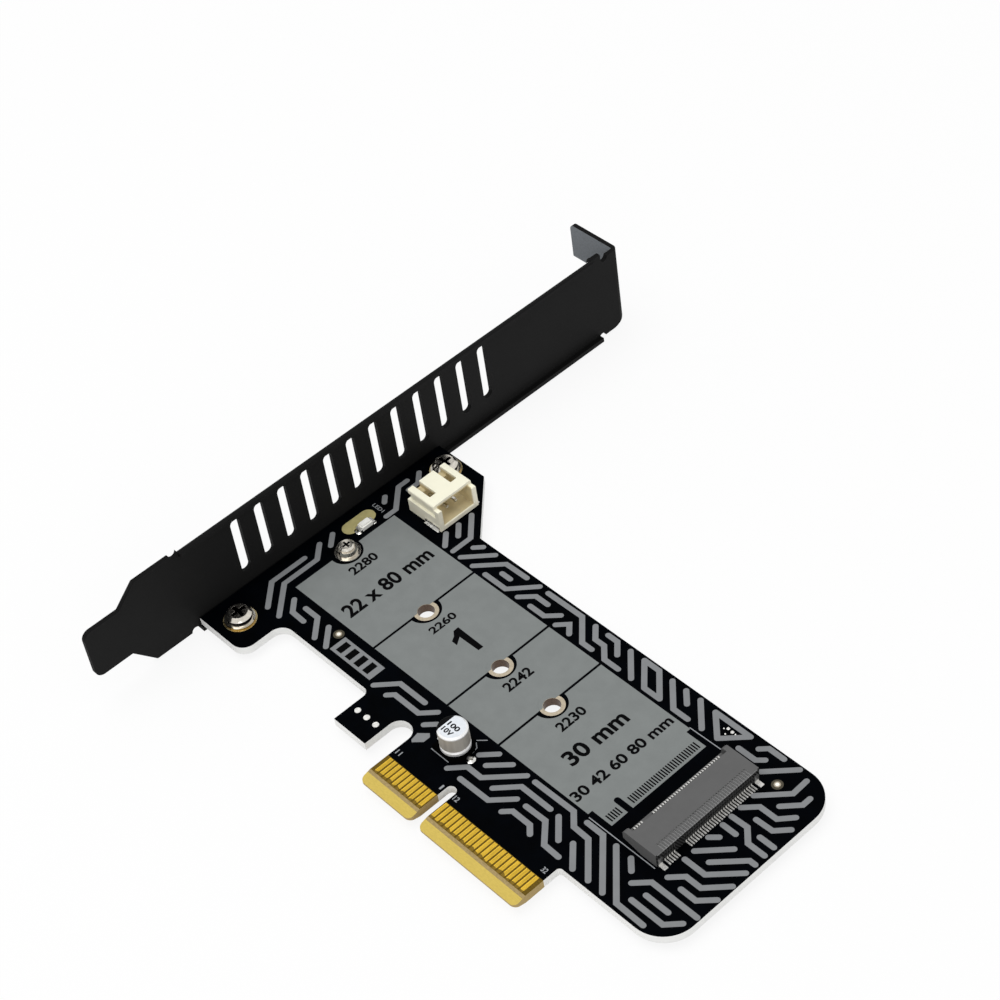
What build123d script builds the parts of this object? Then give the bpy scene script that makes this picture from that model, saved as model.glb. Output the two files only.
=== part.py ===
from build123d import *
import os

os.makedirs("parts", exist_ok=True)

# The card lies flat with its component side up.
# X runs from the slot bracket to the module socket, Y from the edge contacts into the board,
# and Z = 0 is the solder side. The origin is the middle of the key notch at the contact tip.

# Board
board_thickness = 1.6
pad_thickness = 0.05
board_end_x = 44.4
end_corner_radius = 6.0
end_shoulder_y = 9.25
long_edge_y = 12.35
upper_edge_y = 46.93
wide_edge_y = 57.35
diagonal_offset = 22.47
ear_bottom_y = 3.8
ear_width = 11.77
ear_radius = 2.5

# Edge connector
contact_pitch = 1.0
contact_width = 0.7
contact_length = 3.55
contact_tip_gap = 2.3
short_contact_count = 11
long_contact_count = 21
key_side_margin = 0.2
end_side_margin = 0.75
key_width = 1.9
key_depth = 8.75
key_radius = 0.9
tip_corner_radius = 1.0
bevel_length = 2.2
bevel_depth = 0.6
shoulder_radius = 0.7

# Hook beside the short tongue
hook_width = 7.55
hook_tip_y = 4.95
hook_root_radius = 1.2
retention_width = 4.45
retention_radius = 2.2

# Slot bracket
sheet = 0.86
bracket_width = 18.42
bracket_length = 120.02
bracket_tip_y = -16.52
bracket_offset = 7.87
bend_radius = 0.3
board_gap = 0.35
flange_start_y = 3.5
flange_end_gap = 6.6
lower_flange_depth = 2.0
upper_flange_depth = 1.6
relief_radius = 0.8
tongue_width = 10.19
tongue_length = 7.2
tongue_offset = 0.5
tongue_taper = 3.9
tongue_radius = 1.6
plate_corner_radius = 3.0
vent_count = 12
vent_pitch = 5.0
vent_width = 1.9
vent_length = 12.0
vent_row_y = 42.4
vent_row_z = 10.0
lug_width = 2.2
tab_shoulder = 1.2

# Top tab of the bracket, with the notch for the case screw
top_tab_length = 10.7
screw_notch_width = 4.42
screw_notch_offset = 5.1
screw_notch_drop = 7.37
top_tab_radius = 1.0
tab_relief = 1.4

# Bracket feet and their screws
foot_width = 6.8
screw_offset = 5.67
first_screw_y = 8.2
screw_spacing = 46.0
screw_shank_radius = 1.25
screw_length = 3.0
screw_flange_radius = 2.65
screw_flange_height = 0.35
screw_head_radius = 2.25
screw_head_height = 1.9
screw_crown = 0.6
screw_recess_span = 2.7
screw_recess_width = 0.65
screw_recess_depth = 1.0
screw_pad_radius = 2.9
thread_clearance = 0.02
plated_hole_clearance = 0.2
plating = 0.05

# Module fixing holes, at the card lengths that the socket takes
module_axis_y = 29.9
module_stop_x = 29.4
open_hole_lengths = (30.0, 42.0, 60.0)
standoff_length = 80.0
module_bore_radius = 1.45
module_ring_radius = 2.15

# Module standoff, its nut and its screw
standoff_flange_radius = 2.3
standoff_flange_height = 0.4
standoff_post_radius = 1.75
standoff_stud_radius = 1.25
nut_flats = 5.0
nut_thickness = 1.2
nut_chamfer = 0.25
module_screw_radius = 0.95
module_screw_clearance = 0.05
module_screw_length = 2.2
module_screw_head_radius = 1.45
module_screw_head_height = 0.6
module_screw_recess_span = 1.5
module_screw_recess_width = 0.4
module_screw_recess_depth = 0.35

# Module socket
module_level = 1.5
socket_front_x = 26.35
socket_depth = 6.95
socket_top = 2.75
socket_seat_gap = 0.1
socket_foot_setback = 3.85
socket_nose_height = 1.7
socket_row_end = 1.75
socket_cheek = 0.95
socket_roof_setback = 1.25
socket_slot_height = 0.9
socket_slot_depth = 4.45
socket_slot_clearance = 0.05
socket_key_offset = 6.125
socket_key_width = 1.0
socket_key_clear = 1.0
socket_pitch = 0.5
rear_positions = 38
front_positions = 37
contact_strip_width = 0.24
contact_strip_thickness = 0.15
channel_width = 0.3
rear_channel_depth = 0.95
rear_channel_drop = 0.45
rear_slot_length = 1.5
rear_slot_depth = 0.3
rear_tail_height = 0.9
rear_foot_length = 1.15
rear_beam_length = 2.6
rear_bow = 0.2
front_foot_length = 1.0
front_lip = 0.15
front_beam_drop = 0.45
front_beam_rise = 0.35
front_tip_length = 0.25
front_tip_drop = 0.2
anchor_width = 0.8
anchor_height = 1.6
anchor_foot_length = 1.3
anchor_inset = 0.3
peg_row_gap = 0.85
peg_radii = (0.55, 0.8)
peg_hole_clearance = 0.05
socket_chamfer = 0.45

# Capacitor
capacitor_x = -5.5
capacitor_y = 14.0
capacitor_radius = 2.5
capacitor_top = 5.3
capacitor_base_size = 5.3
capacitor_base_height = 0.9
capacitor_base_chamfer = 1.1
capacitor_recess = 0.35
capacitor_clearance = 0.05
capacitor_edge = 0.3
bead_height = 0.6
bead_depth = 0.18
bead_above_base = 0.4
lead_width = 0.65
lead_thickness = 0.2
lead_reach = 0.75
lead_inset = 1.2

# Fan header
header_offset = 16.47
header_axis_y = 47.8
header_depth = 7.7
header_width = 8.6
header_top = 5.4
header_seat_gap = 0.05
header_side_wall = 0.9
header_floor = 0.9
header_roof = 0.8
header_roof_setback = 1.1
header_cavity_depth = 6.2
header_slot_width = 1.4
header_slot_length = 4.4
header_slot_depth = 1.3
header_slot_spacing = 4.7
header_groove_height = 1.7
header_groove_depth = 0.45
header_groove_level = 2.7
header_groove_setback = 1.0
header_heel_length = 0.5
header_heel_width = 1.2
header_edge = 0.2
pin_pitch = 2.0
pin_size = 0.5
pin_level = 2.6
pin_tip_setback = 1.6
pin_foot_length = 0.9
pin_clearance = 0.02
fixing_tab_length = 3.6
fixing_tab_thickness = 0.2
fixing_tab_height = 1.1
fixing_tab_foot = 0.3
fixing_tab_setback = 0.3

# Light emitting diode
led_offset = 5.37
led_y = 36.0
led_length = 3.3
led_width = 1.4
led_height = 0.8
led_terminal_length = 0.5
led_terminal_height = 0.5
led_lens_height = 0.3
led_lens_inset = 0.2

# Chip parts on the solder side
chip_length = 1.6
chip_width = 0.8
chip_height = 0.45
chip_terminal_length = 0.35
chip_terminal_skin = 0.03
chip_capacitor_places = ((-3.0, 17.5), (0.5, 17.5))
chip_resistor_offset = 7.97

# Bare pads
fiducial_radius = 0.55
fiducial_places = ((-37.7, 17.0), (36.0, 41.9))
test_pad_radius = 0.55
test_pad_pitch = 2.2
test_pad_columns = 3
test_pad_row_y = 8.6

# Places that follow from the sizes above
top_z = board_thickness
pad_top_z = board_thickness + pad_thickness
bracket_face_x = module_stop_x - standoff_length - bracket_offset
bracket_back_x = bracket_face_x - sheet
bracket_top_y = bracket_tip_y + bracket_length
flange_end_y = bracket_top_y - flange_end_gap
bracket_low_z = -sheet
bracket_high_z = bracket_low_z + bracket_width
board_start_x = bracket_face_x + board_gap
ear_right_x = bracket_face_x + ear_width
diagonal_foot_x = bracket_face_x + diagonal_offset
screw_x = bracket_face_x + screw_offset
contact_margins = key_side_margin + end_side_margin
short_tongue = (short_contact_count - 1) * contact_pitch + contact_width + contact_margins
long_tongue = (long_contact_count - 1) * contact_pitch + contact_width + contact_margins
short_left_x = -key_width / 2 - short_tongue
long_right_x = key_width / 2 + long_tongue
hook_right_x = short_left_x - retention_width
hook_left_x = hook_right_x - hook_width
diagonal_head_x = diagonal_foot_x - (wide_edge_y - upper_edge_y)
screw_places = ((screw_x, first_screw_y), (screw_x, first_screw_y + screw_spacing))
open_hole_places = tuple((module_stop_x - length, module_axis_y) for length in open_hole_lengths)
standoff_place = (module_stop_x - standoff_length, module_axis_y)
module_hole_places = open_hole_places + (standoff_place,)
screw_bore_radius = screw_shank_radius + plated_hole_clearance
socket_key_y = module_axis_y - socket_key_offset
socket_row_length = (rear_positions - 1) * socket_pitch
socket_width = socket_row_length + 2 * socket_row_end
socket_slot_width = socket_width - 2 * socket_cheek
peg_offset = socket_row_length / 2 + peg_row_gap
peg_x = socket_front_x + (socket_foot_setback + socket_depth) / 2
peg_places = ((peg_x, module_axis_y - peg_offset), (peg_x, module_axis_y + peg_offset))


def contact_places(row_y):
    """Centres of the edge contacts on both tongues, counted outwards from the key."""
    first_x = key_width / 2 + key_side_margin + contact_width / 2
    places = []
    for side, count in ((-1, short_contact_count), (1, long_contact_count)):
        for index in range(count):
            places.append((side * (first_x + index * contact_pitch), row_y))
    return places


def pitch_row(count):
    """Y of each position in one socket row."""
    start = module_axis_y - (count - 1) / 2 * socket_pitch
    return [start + index * socket_pitch for index in range(count)]


def socket_row(count):
    """Y of each contact in one socket row, with none beside the key."""
    return [y for y in pitch_row(count) if abs(y - socket_key_y) > socket_key_clear]


def strip_planes(centres, width):
    """Upright sketch planes for strips of one width, one for each centre along Y."""
    return [Plane.XZ.offset(-(y - width / 2)) for y in centres]


def bent_strip(thickness, *points):
    """Profile of a thin strip that is bent along a line of points."""
    with BuildLine() as path:
        Polyline(*points)
        offset(amount=thickness, side=Side.LEFT, kind=Kind.INTERSECTION)
    make_face(path.edges())


def nearest_corner(sketch, x, y):
    """The corner of a sketch that lies nearest to a point."""
    return sketch.vertices().sort_by_distance((x, y, 0))[0]


# Board: one outline with the ear, the hook, both tongues and the slanted shoulder
with BuildPart() as pcb:
    with BuildSketch() as board_outline:
        with BuildLine():
            Polyline(
                (board_start_x, ear_bottom_y),
                (ear_right_x, ear_bottom_y),
                (ear_right_x, long_edge_y),
                (hook_left_x, long_edge_y),
                (hook_left_x, hook_tip_y),
                (hook_right_x, hook_tip_y),
                (hook_right_x, long_edge_y),
                (short_left_x, long_edge_y),
                (short_left_x, 0),
                (-key_width / 2, 0),
                (-key_width / 2, key_depth),
                (key_width / 2, key_depth),
                (key_width / 2, 0),
                (long_right_x, 0),
                (long_right_x, end_shoulder_y),
                (board_end_x, end_shoulder_y),
                (board_end_x, upper_edge_y),
                (diagonal_foot_x, upper_edge_y),
                (diagonal_head_x, wide_edge_y),
                (board_start_x, wide_edge_y),
                close=True,
            )
        make_face()
        rounded = (
            (ear_right_x, ear_bottom_y, ear_radius),
            (ear_right_x, long_edge_y, ear_radius),
            (hook_left_x, long_edge_y, hook_root_radius),
            (hook_right_x, long_edge_y, retention_radius),
            (short_left_x, long_edge_y, retention_radius),
            (short_left_x, 0, tip_corner_radius),
            (-key_width / 2, 0, tip_corner_radius),
            (-key_width / 2, key_depth, key_radius),
            (key_width / 2, key_depth, key_radius),
            (key_width / 2, 0, tip_corner_radius),
            (long_right_x, 0, tip_corner_radius),
            (long_right_x, end_shoulder_y, shoulder_radius),
            (board_end_x, end_shoulder_y, end_corner_radius),
            (board_end_x, upper_edge_y, end_corner_radius),
        )
        for corner_x, corner_y, corner_radius in rounded:
            fillet(nearest_corner(board_outline, corner_x, corner_y), corner_radius)
        with Locations(*module_hole_places):
            Circle(module_bore_radius + plating, mode=Mode.SUBTRACT)
        with Locations(*screw_places):
            Circle(screw_bore_radius + plating, mode=Mode.SUBTRACT)
        for peg_place, peg_radius in zip(peg_places, peg_radii):
            with Locations(peg_place):
                Circle(peg_radius + peg_hole_clearance, mode=Mode.SUBTRACT)
    extrude(amount=board_thickness)
    with BuildSketch(Plane.YZ.offset(short_left_x)):
        with BuildLine():
            Polyline((0, 0), (bevel_length, 0), (0, bevel_depth), close=True)
        make_face()
        with BuildLine():
            Polyline(
                (0, board_thickness),
                (bevel_length, board_thickness),
                (0, board_thickness - bevel_depth),
                close=True,
            )
        make_face()
    extrude(amount=long_right_x - short_left_x, mode=Mode.SUBTRACT)
pcb.part.label = "pcb"
export_step(pcb.part, "parts/pcb.step")

# Edge contacts on the component side
contact_row_y = contact_tip_gap + contact_length / 2
with BuildPart() as edge_contacts_front:
    with BuildSketch(Plane.XY.offset(top_z)):
        with Locations(*contact_places(contact_row_y)):
            Rectangle(contact_width, contact_length)
    extrude(amount=pad_thickness)
edge_contacts_front.part.label = "edge_contacts_front"
export_step(edge_contacts_front.part, "parts/edge_contacts_front.step")

# Edge contacts on the solder side
with BuildPart() as edge_contacts_back:
    with BuildSketch(Plane.XY):
        with Locations(*contact_places(contact_row_y)):
            Rectangle(contact_width, contact_length)
    extrude(amount=-pad_thickness)
edge_contacts_back.part.label = "edge_contacts_back"
export_step(edge_contacts_back.part, "parts/edge_contacts_back.step")

# Plated holes for the module screw: a barrel with a ring on each face
with BuildPart() as module_hole_plating:
    with BuildSketch(Plane.XY.offset(-pad_thickness)):
        with Locations(*module_hole_places):
            Circle(module_ring_radius)
            Circle(module_bore_radius, mode=Mode.SUBTRACT)
    extrude(amount=pad_thickness)
    with BuildSketch(Plane.XY):
        with Locations(*module_hole_places):
            Circle(module_bore_radius + plating)
            Circle(module_bore_radius, mode=Mode.SUBTRACT)
    extrude(amount=board_thickness)
    with BuildSketch(Plane.XY.offset(top_z)):
        with Locations(*module_hole_places):
            Circle(module_ring_radius)
            Circle(module_bore_radius, mode=Mode.SUBTRACT)
    extrude(amount=pad_thickness)
module_hole_plating.part.label = "module_hole_plating"
export_step(module_hole_plating.part, "parts/module_hole_plating.step")

# Plated holes for the bracket screws, with a wide ring on the component side
with BuildPart() as screw_hole_plating:
    with BuildSketch(Plane.XY):
        with Locations(*screw_places):
            Circle(screw_bore_radius + plating)
            Circle(screw_bore_radius, mode=Mode.SUBTRACT)
    extrude(amount=board_thickness)
    with BuildSketch(Plane.XY.offset(top_z)):
        with Locations(*screw_places):
            Circle(screw_pad_radius)
            Circle(screw_bore_radius, mode=Mode.SUBTRACT)
    extrude(amount=pad_thickness)
screw_hole_plating.part.label = "screw_hole_plating"
export_step(screw_hole_plating.part, "parts/screw_hole_plating.step")

# Slot bracket: a folded sheet with vents, two edge flanges, two feet and the top tab
taper_y = bracket_tip_y + tongue_length
plate_start_y = taper_y + tongue_taper
tongue_mid_z = bracket_low_z + bracket_width / 2 + tongue_offset
tongue_low_z = tongue_mid_z - tongue_width / 2
tongue_high_z = tongue_mid_z + tongue_width / 2
outer_bend_radius = bend_radius + sheet
lower_bend_z = bracket_low_z + outer_bend_radius
upper_bend_z = bracket_high_z - outer_bend_radius
tab_root_y = bracket_top_y - 2 * outer_bend_radius
tab_tip_x = bracket_back_x - top_tab_length
notch_x = bracket_back_x - screw_notch_offset
tab_high_z = bracket_high_z - tab_shoulder
notch_z = tab_high_z - screw_notch_drop
lower_flange_x = bracket_back_x + lower_flange_depth
upper_flange_x = bracket_back_x + upper_flange_depth
with BuildPart() as bracket:
    with BuildSketch(Plane.YZ.offset(bracket_back_x)) as plate_outline:
        with BuildLine():
            Polyline(
                (bracket_tip_y, tongue_low_z),
                (taper_y, tongue_low_z),
                (plate_start_y, bracket_low_z),
                (flange_start_y, bracket_low_z),
                (flange_start_y, lower_bend_z),
                (flange_end_y, lower_bend_z),
                (flange_end_y, bracket_low_z),
                (tab_root_y, bracket_low_z),
                (tab_root_y, tab_high_z),
                (flange_end_y + lug_width, tab_high_z),
                (flange_end_y + lug_width, bracket_high_z),
                (flange_end_y, bracket_high_z),
                (flange_end_y, upper_bend_z),
                (flange_start_y, upper_bend_z),
                (flange_start_y, bracket_high_z),
                (plate_start_y, bracket_high_z),
                (taper_y, tongue_high_z),
                (bracket_tip_y, tongue_high_z),
                close=True,
            )
        make_face()
        fillet(plate_outline.vertices().group_by(Axis.X)[0], tongue_radius)
        with Locations(
            (flange_start_y - relief_radius, bracket_low_z),
            (flange_start_y - relief_radius, bracket_high_z),
            (flange_end_y + relief_radius, bracket_low_z),
            (flange_end_y + lug_width + relief_radius, tab_high_z),
        ):
            Circle(relief_radius, mode=Mode.SUBTRACT)
        with Locations((vent_row_y, vent_row_z)):
            with GridLocations(vent_pitch, 0, vent_count, 1):
                SlotOverall(vent_length, vent_width, rotation=90, mode=Mode.SUBTRACT)
    extrude(amount=sheet)
    with BuildSketch(Plane.XZ.offset(-flange_start_y)) as channel:
        with BuildLine():
            Polyline(
                (bracket_back_x, bracket_low_z),
                (lower_flange_x, bracket_low_z),
                (lower_flange_x, bracket_low_z + sheet),
                (bracket_face_x, bracket_low_z + sheet),
                (bracket_face_x, bracket_high_z - sheet),
                (upper_flange_x, bracket_high_z - sheet),
                (upper_flange_x, bracket_high_z),
                (bracket_back_x, bracket_high_z),
                close=True,
            )
        make_face()
        for bend_x, bend_z, radius in (
            (bracket_back_x, bracket_low_z, outer_bend_radius),
            (bracket_back_x, bracket_high_z, outer_bend_radius),
            (bracket_face_x, bracket_low_z + sheet, bend_radius),
            (bracket_face_x, bracket_high_z - sheet, bend_radius),
        ):
            fillet(nearest_corner(channel, bend_x, bend_z), radius)
        with Locations((bracket_back_x, (lower_bend_z + upper_bend_z) / 2)):
            Rectangle(
                sheet,
                upper_bend_z - lower_bend_z,
                align=(Align.MIN, Align.CENTER),
                mode=Mode.SUBTRACT,
            )
    extrude(amount=-(flange_end_y - flange_start_y))
    with BuildSketch(Plane.XY.offset(bracket_low_z)):
        for foot_x, foot_y in screw_places:
            with Locations((foot_x, foot_y)):
                Circle(foot_width / 2)
            with Locations((foot_x, foot_y)):
                Rectangle(
                    foot_x - bracket_face_x - bend_radius,
                    foot_width,
                    align=(Align.MAX, Align.CENTER),
                )
        with Locations(*screw_places):
            Circle(screw_shank_radius + thread_clearance, mode=Mode.SUBTRACT)
    extrude(amount=sheet)
    with BuildSketch(Plane.XY.offset(bracket_low_z)) as tab_profile:
        with BuildLine():
            Polyline(
                (bracket_face_x, tab_root_y),
                (bracket_face_x, bracket_top_y),
                (tab_tip_x, bracket_top_y),
                (tab_tip_x, bracket_top_y - sheet),
                (bracket_back_x, bracket_top_y - sheet),
                (bracket_back_x, tab_root_y),
                close=True,
            )
        make_face()
        fillet(nearest_corner(tab_profile, bracket_face_x, bracket_top_y), outer_bend_radius)
        fillet(nearest_corner(tab_profile, bracket_back_x, bracket_top_y - sheet), bend_radius)
    extrude(amount=tab_high_z - bracket_low_z)
    tab_corner = bracket.edges().filter_by(Axis.Y).group_by(Axis.X)[0].sort_by(Axis.Z)[-1]
    fillet(tab_corner, top_tab_radius)
    with BuildSketch(Plane.XZ.offset(-bracket_top_y)):
        with Locations((notch_x, notch_z)):
            Circle(screw_notch_width / 2)
        with Locations((notch_x + screw_notch_width / 2, notch_z)):
            Rectangle(
                notch_x + screw_notch_width / 2 - tab_tip_x,
                notch_z - bracket_low_z,
                align=(Align.MAX, Align.MAX),
            )
        with Locations((bracket_back_x, bracket_low_z)):
            Rectangle(tab_relief, plate_corner_radius, align=(Align.MAX, Align.MIN))
    extrude(amount=sheet, mode=Mode.SUBTRACT)
    with BuildSketch(Plane.YZ.offset(bracket_back_x)):
        with Locations((bracket_top_y, bracket_low_z)):
            Rectangle(plate_corner_radius, plate_corner_radius, align=(Align.MAX, Align.MIN))
        with Locations((bracket_top_y - plate_corner_radius, bracket_low_z + plate_corner_radius)):
            Circle(plate_corner_radius, mode=Mode.SUBTRACT)
    extrude(amount=sheet, mode=Mode.SUBTRACT)
bracket.part.label = "bracket"
export_step(bracket.part, "parts/bracket.step")

# Bracket screws: washer-faced pan heads with a cross recess
screw_head_z = pad_top_z + screw_head_height
with BuildPart() as bracket_screws:
    with BuildSketch(Plane.XZ) as screw_profile:
        with BuildLine():
            Polyline(
                (0, pad_top_z - screw_length),
                (screw_shank_radius, pad_top_z - screw_length),
                (screw_shank_radius, pad_top_z),
                (screw_flange_radius, pad_top_z),
                (screw_flange_radius, pad_top_z + screw_flange_height),
                (screw_head_radius, pad_top_z + screw_flange_height),
                (screw_head_radius, screw_head_z),
                (0, screw_head_z),
                close=True,
            )
        make_face()
        chamfer(nearest_corner(screw_profile, screw_head_radius, screw_head_z), screw_crown)
    one_screw = revolve(axis=Axis.Z, mode=Mode.PRIVATE)
    with Locations(*[(x, y, 0) for x, y in screw_places]):
        add(one_screw)
    with BuildSketch(Plane.XY.offset(screw_head_z)):
        with Locations(*screw_places):
            Rectangle(screw_recess_span, screw_recess_width)
            Rectangle(screw_recess_width, screw_recess_span)
    extrude(amount=-screw_recess_depth, mode=Mode.SUBTRACT)
bracket_screws.part.label = "bracket_screws"
export_step(bracket_screws.part, "parts/bracket_screws.step")

# Module standoff: a turned post on the ring of the far hole, with a threaded stud below
standoff_top_z = top_z + module_level
stud_end_z = -pad_thickness - nut_thickness
with BuildPart() as module_standoff:
    with BuildSketch(Plane.XY.offset(pad_top_z)):
        with Locations(standoff_place):
            Circle(standoff_flange_radius)
    extrude(amount=standoff_flange_height)
    with BuildSketch(Plane.XY.offset(pad_top_z + standoff_flange_height)):
        with Locations(standoff_place):
            Circle(standoff_post_radius)
    extrude(amount=standoff_top_z - pad_top_z - standoff_flange_height)
    with BuildSketch(Plane.XY.offset(stud_end_z)):
        with Locations(standoff_place):
            Circle(standoff_stud_radius)
    extrude(amount=pad_top_z - stud_end_z)
    with BuildSketch(Plane.XY.offset(standoff_top_z)):
        with Locations(standoff_place):
            Circle(module_screw_radius + module_screw_clearance)
    extrude(amount=-module_screw_length, mode=Mode.SUBTRACT)
module_standoff.part.label = "module_standoff"
export_step(module_standoff.part, "parts/module_standoff.step")

# Nut of the standoff, against the ring on the solder side
with BuildPart() as standoff_nut:
    with BuildSketch(Plane.XY.offset(-pad_thickness)):
        with Locations(standoff_place):
            RegularPolygon(nut_flats / 2, 6, major_radius=False)
            Circle(standoff_stud_radius + thread_clearance, mode=Mode.SUBTRACT)
    extrude(amount=-nut_thickness)
    chamfer(standoff_nut.faces().sort_by(Axis.Z)[0].outer_wire().edges(), nut_chamfer)
standoff_nut.part.label = "standoff_nut"
export_step(standoff_nut.part, "parts/standoff_nut.step")

# Screw of the module, kept in the standoff
module_screw_top_z = standoff_top_z + module_screw_head_height
with BuildPart() as module_screw:
    with BuildSketch(Plane.XY.offset(standoff_top_z)):
        with Locations(standoff_place):
            Circle(module_screw_head_radius)
    extrude(amount=module_screw_head_height)
    chamfer(module_screw.edges().sort_by(Axis.Z)[-1], module_screw_head_height / 2)
    with BuildSketch(Plane.XY.offset(standoff_top_z)):
        with Locations(standoff_place):
            Circle(module_screw_radius)
    extrude(amount=-module_screw_length)
    with BuildSketch(Plane.XY.offset(module_screw_top_z)):
        with Locations(standoff_place):
            Rectangle(module_screw_recess_span, module_screw_recess_width)
            Rectangle(module_screw_recess_width, module_screw_recess_span)
    extrude(amount=-module_screw_recess_depth, mode=Mode.SUBTRACT)
module_screw.part.label = "module_screw"
export_step(module_screw.part, "parts/module_screw.step")

# Module socket: levels and depths that the housing and both contact rows share
socket_rear_x = socket_front_x + socket_depth
socket_low_z = top_z + socket_seat_gap
socket_high_z = top_z + socket_top
nose_low_z = socket_high_z - socket_nose_height
slot_low_z = top_z + module_level - socket_slot_clearance
slot_high_z = slot_low_z + socket_slot_height
slot_end_x = socket_front_x + socket_slot_depth
channel_top_z = socket_high_z - rear_channel_drop
foot_start_x = socket_front_x + socket_foot_setback
rear_row = socket_row(rear_positions)
front_row = socket_row(front_positions)
side_clearance = (channel_width - contact_strip_width) / 2
rear_inner_x = socket_rear_x - rear_channel_depth + side_clearance
rear_outer_x = socket_rear_x - side_clearance - contact_strip_thickness
front_channel_start_x = socket_front_x + front_lip
rear_tunnel_low_z = channel_top_z - contact_strip_thickness - 2 * side_clearance

# Socket housing: a slot under a set-back roof, between cheeks that reach to the front, with a sloped
# throat below, a channel for each contact and a row of open slots along the rear edge of the roof
with BuildPart() as socket_housing:
    with BuildSketch(Plane.XZ.offset(-(module_axis_y - socket_width / 2))) as socket_section:
        with BuildLine():
            Polyline(
                (foot_start_x, socket_low_z),
                (socket_rear_x, socket_low_z),
                (socket_rear_x, socket_high_z),
                (socket_front_x, socket_high_z),
                (socket_front_x, nose_low_z),
                close=True,
            )
        make_face()
        chamfer(nearest_corner(socket_section, socket_front_x, socket_high_z), socket_chamfer)
    extrude(amount=-socket_width)
    with BuildSketch(Plane.YZ.offset(socket_front_x)):
        with Locations((module_axis_y, (slot_low_z + slot_high_z) / 2)):
            Rectangle(socket_slot_width, socket_slot_height)
        with Locations((socket_key_y, (slot_low_z + slot_high_z) / 2)):
            Rectangle(socket_key_width, socket_slot_height, mode=Mode.SUBTRACT)
    extrude(amount=socket_slot_depth, mode=Mode.SUBTRACT)
    with BuildSketch(Plane.YZ.offset(socket_front_x)):
        with Locations((module_axis_y, slot_low_z)):
            Rectangle(
                socket_slot_width,
                socket_high_z - slot_low_z,
                align=(Align.CENTER, Align.MIN),
            )
    extrude(amount=socket_roof_setback, mode=Mode.SUBTRACT)
    with BuildSketch(*strip_planes(front_row, channel_width)):
        with Locations((front_channel_start_x, socket_low_z)):
            Rectangle(
                foot_start_x - front_channel_start_x,
                slot_low_z - socket_low_z,
                align=(Align.MIN, Align.MIN),
            )
    extrude(amount=-channel_width, mode=Mode.SUBTRACT)
    with BuildSketch(*strip_planes(rear_row, channel_width)):
        with Locations((socket_rear_x, socket_low_z)):
            Rectangle(
                rear_channel_depth,
                channel_top_z - socket_low_z,
                align=(Align.MAX, Align.MIN),
            )
        with Locations((socket_rear_x, channel_top_z)):
            Rectangle(
                socket_rear_x - slot_end_x,
                channel_top_z - rear_tunnel_low_z,
                align=(Align.MAX, Align.MAX),
            )
    extrude(amount=-channel_width, mode=Mode.SUBTRACT)
    with BuildSketch(*strip_planes(pitch_row(rear_positions), channel_width)):
        with Locations((socket_rear_x, socket_high_z)):
            Rectangle(rear_slot_length, rear_slot_depth, align=(Align.MAX, Align.MAX))
    extrude(amount=-channel_width, mode=Mode.SUBTRACT)
    for peg_place, peg_radius in zip(peg_places, peg_radii):
        with BuildSketch(Plane.XY.offset(socket_low_z)):
            with Locations(peg_place):
                Circle(peg_radius)
        extrude(amount=-board_thickness)
socket_housing.part.label = "socket_housing"
export_step(socket_housing.part, "parts/socket_housing.step")

# Rear contacts: a beam into the slot, a riser deep in its channel and a stepped tail down to a foot
rear_beam_z = channel_top_z - side_clearance - contact_strip_thickness
rear_bow_x = slot_end_x - rear_beam_length
with BuildPart() as socket_rear_contacts:
    with BuildSketch(*strip_planes(rear_row, contact_strip_width)):
        bent_strip(
            contact_strip_thickness,
            (rear_bow_x - rear_bow, rear_beam_z),
            (rear_bow_x, rear_beam_z - rear_bow),
            (slot_end_x, rear_beam_z),
            (rear_inner_x, rear_beam_z),
            (rear_inner_x, top_z + rear_tail_height),
            (rear_outer_x, top_z + rear_tail_height),
            (rear_outer_x, top_z),
            (socket_rear_x + rear_foot_length, top_z),
        )
    extrude(amount=-contact_strip_width)
socket_rear_contacts.part.label = "socket_rear_contacts"
export_step(socket_rear_contacts.part, "parts/socket_rear_contacts.step")

# Front contacts: a foot below the throat, a riser and a beam that rises to a tip before the roof
front_riser_x = foot_start_x - side_clearance
front_tip_x = front_channel_start_x + side_clearance + front_tip_length
front_tip_z = slot_low_z + front_beam_rise
with BuildPart() as socket_front_contacts:
    with BuildSketch(*strip_planes(front_row, contact_strip_width)):
        bent_strip(
            contact_strip_thickness,
            (front_riser_x - front_foot_length, top_z),
            (front_riser_x, top_z),
            (front_riser_x, slot_low_z - front_beam_drop),
            (front_tip_x, front_tip_z),
            (front_tip_x - front_tip_length, front_tip_z - front_tip_drop),
        )
    extrude(amount=-contact_strip_width)
socket_front_contacts.part.label = "socket_front_contacts"
export_step(socket_front_contacts.part, "parts/socket_front_contacts.step")

# Anchor tabs at both ends of the rear row
anchor_offset = socket_width / 2 - anchor_inset - anchor_width / 2
anchor_centres = (module_axis_y - anchor_offset, module_axis_y + anchor_offset)
with BuildPart() as socket_anchor_tabs:
    with BuildSketch(*strip_planes(anchor_centres, anchor_width)):
        bent_strip(
            contact_strip_thickness,
            (socket_rear_x, top_z + anchor_height),
            (socket_rear_x, top_z),
            (socket_rear_x + anchor_foot_length, top_z),
        )
    extrude(amount=-anchor_width)
socket_anchor_tabs.part.label = "socket_anchor_tabs"
export_step(socket_anchor_tabs.part, "parts/socket_anchor_tabs.step")

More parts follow.
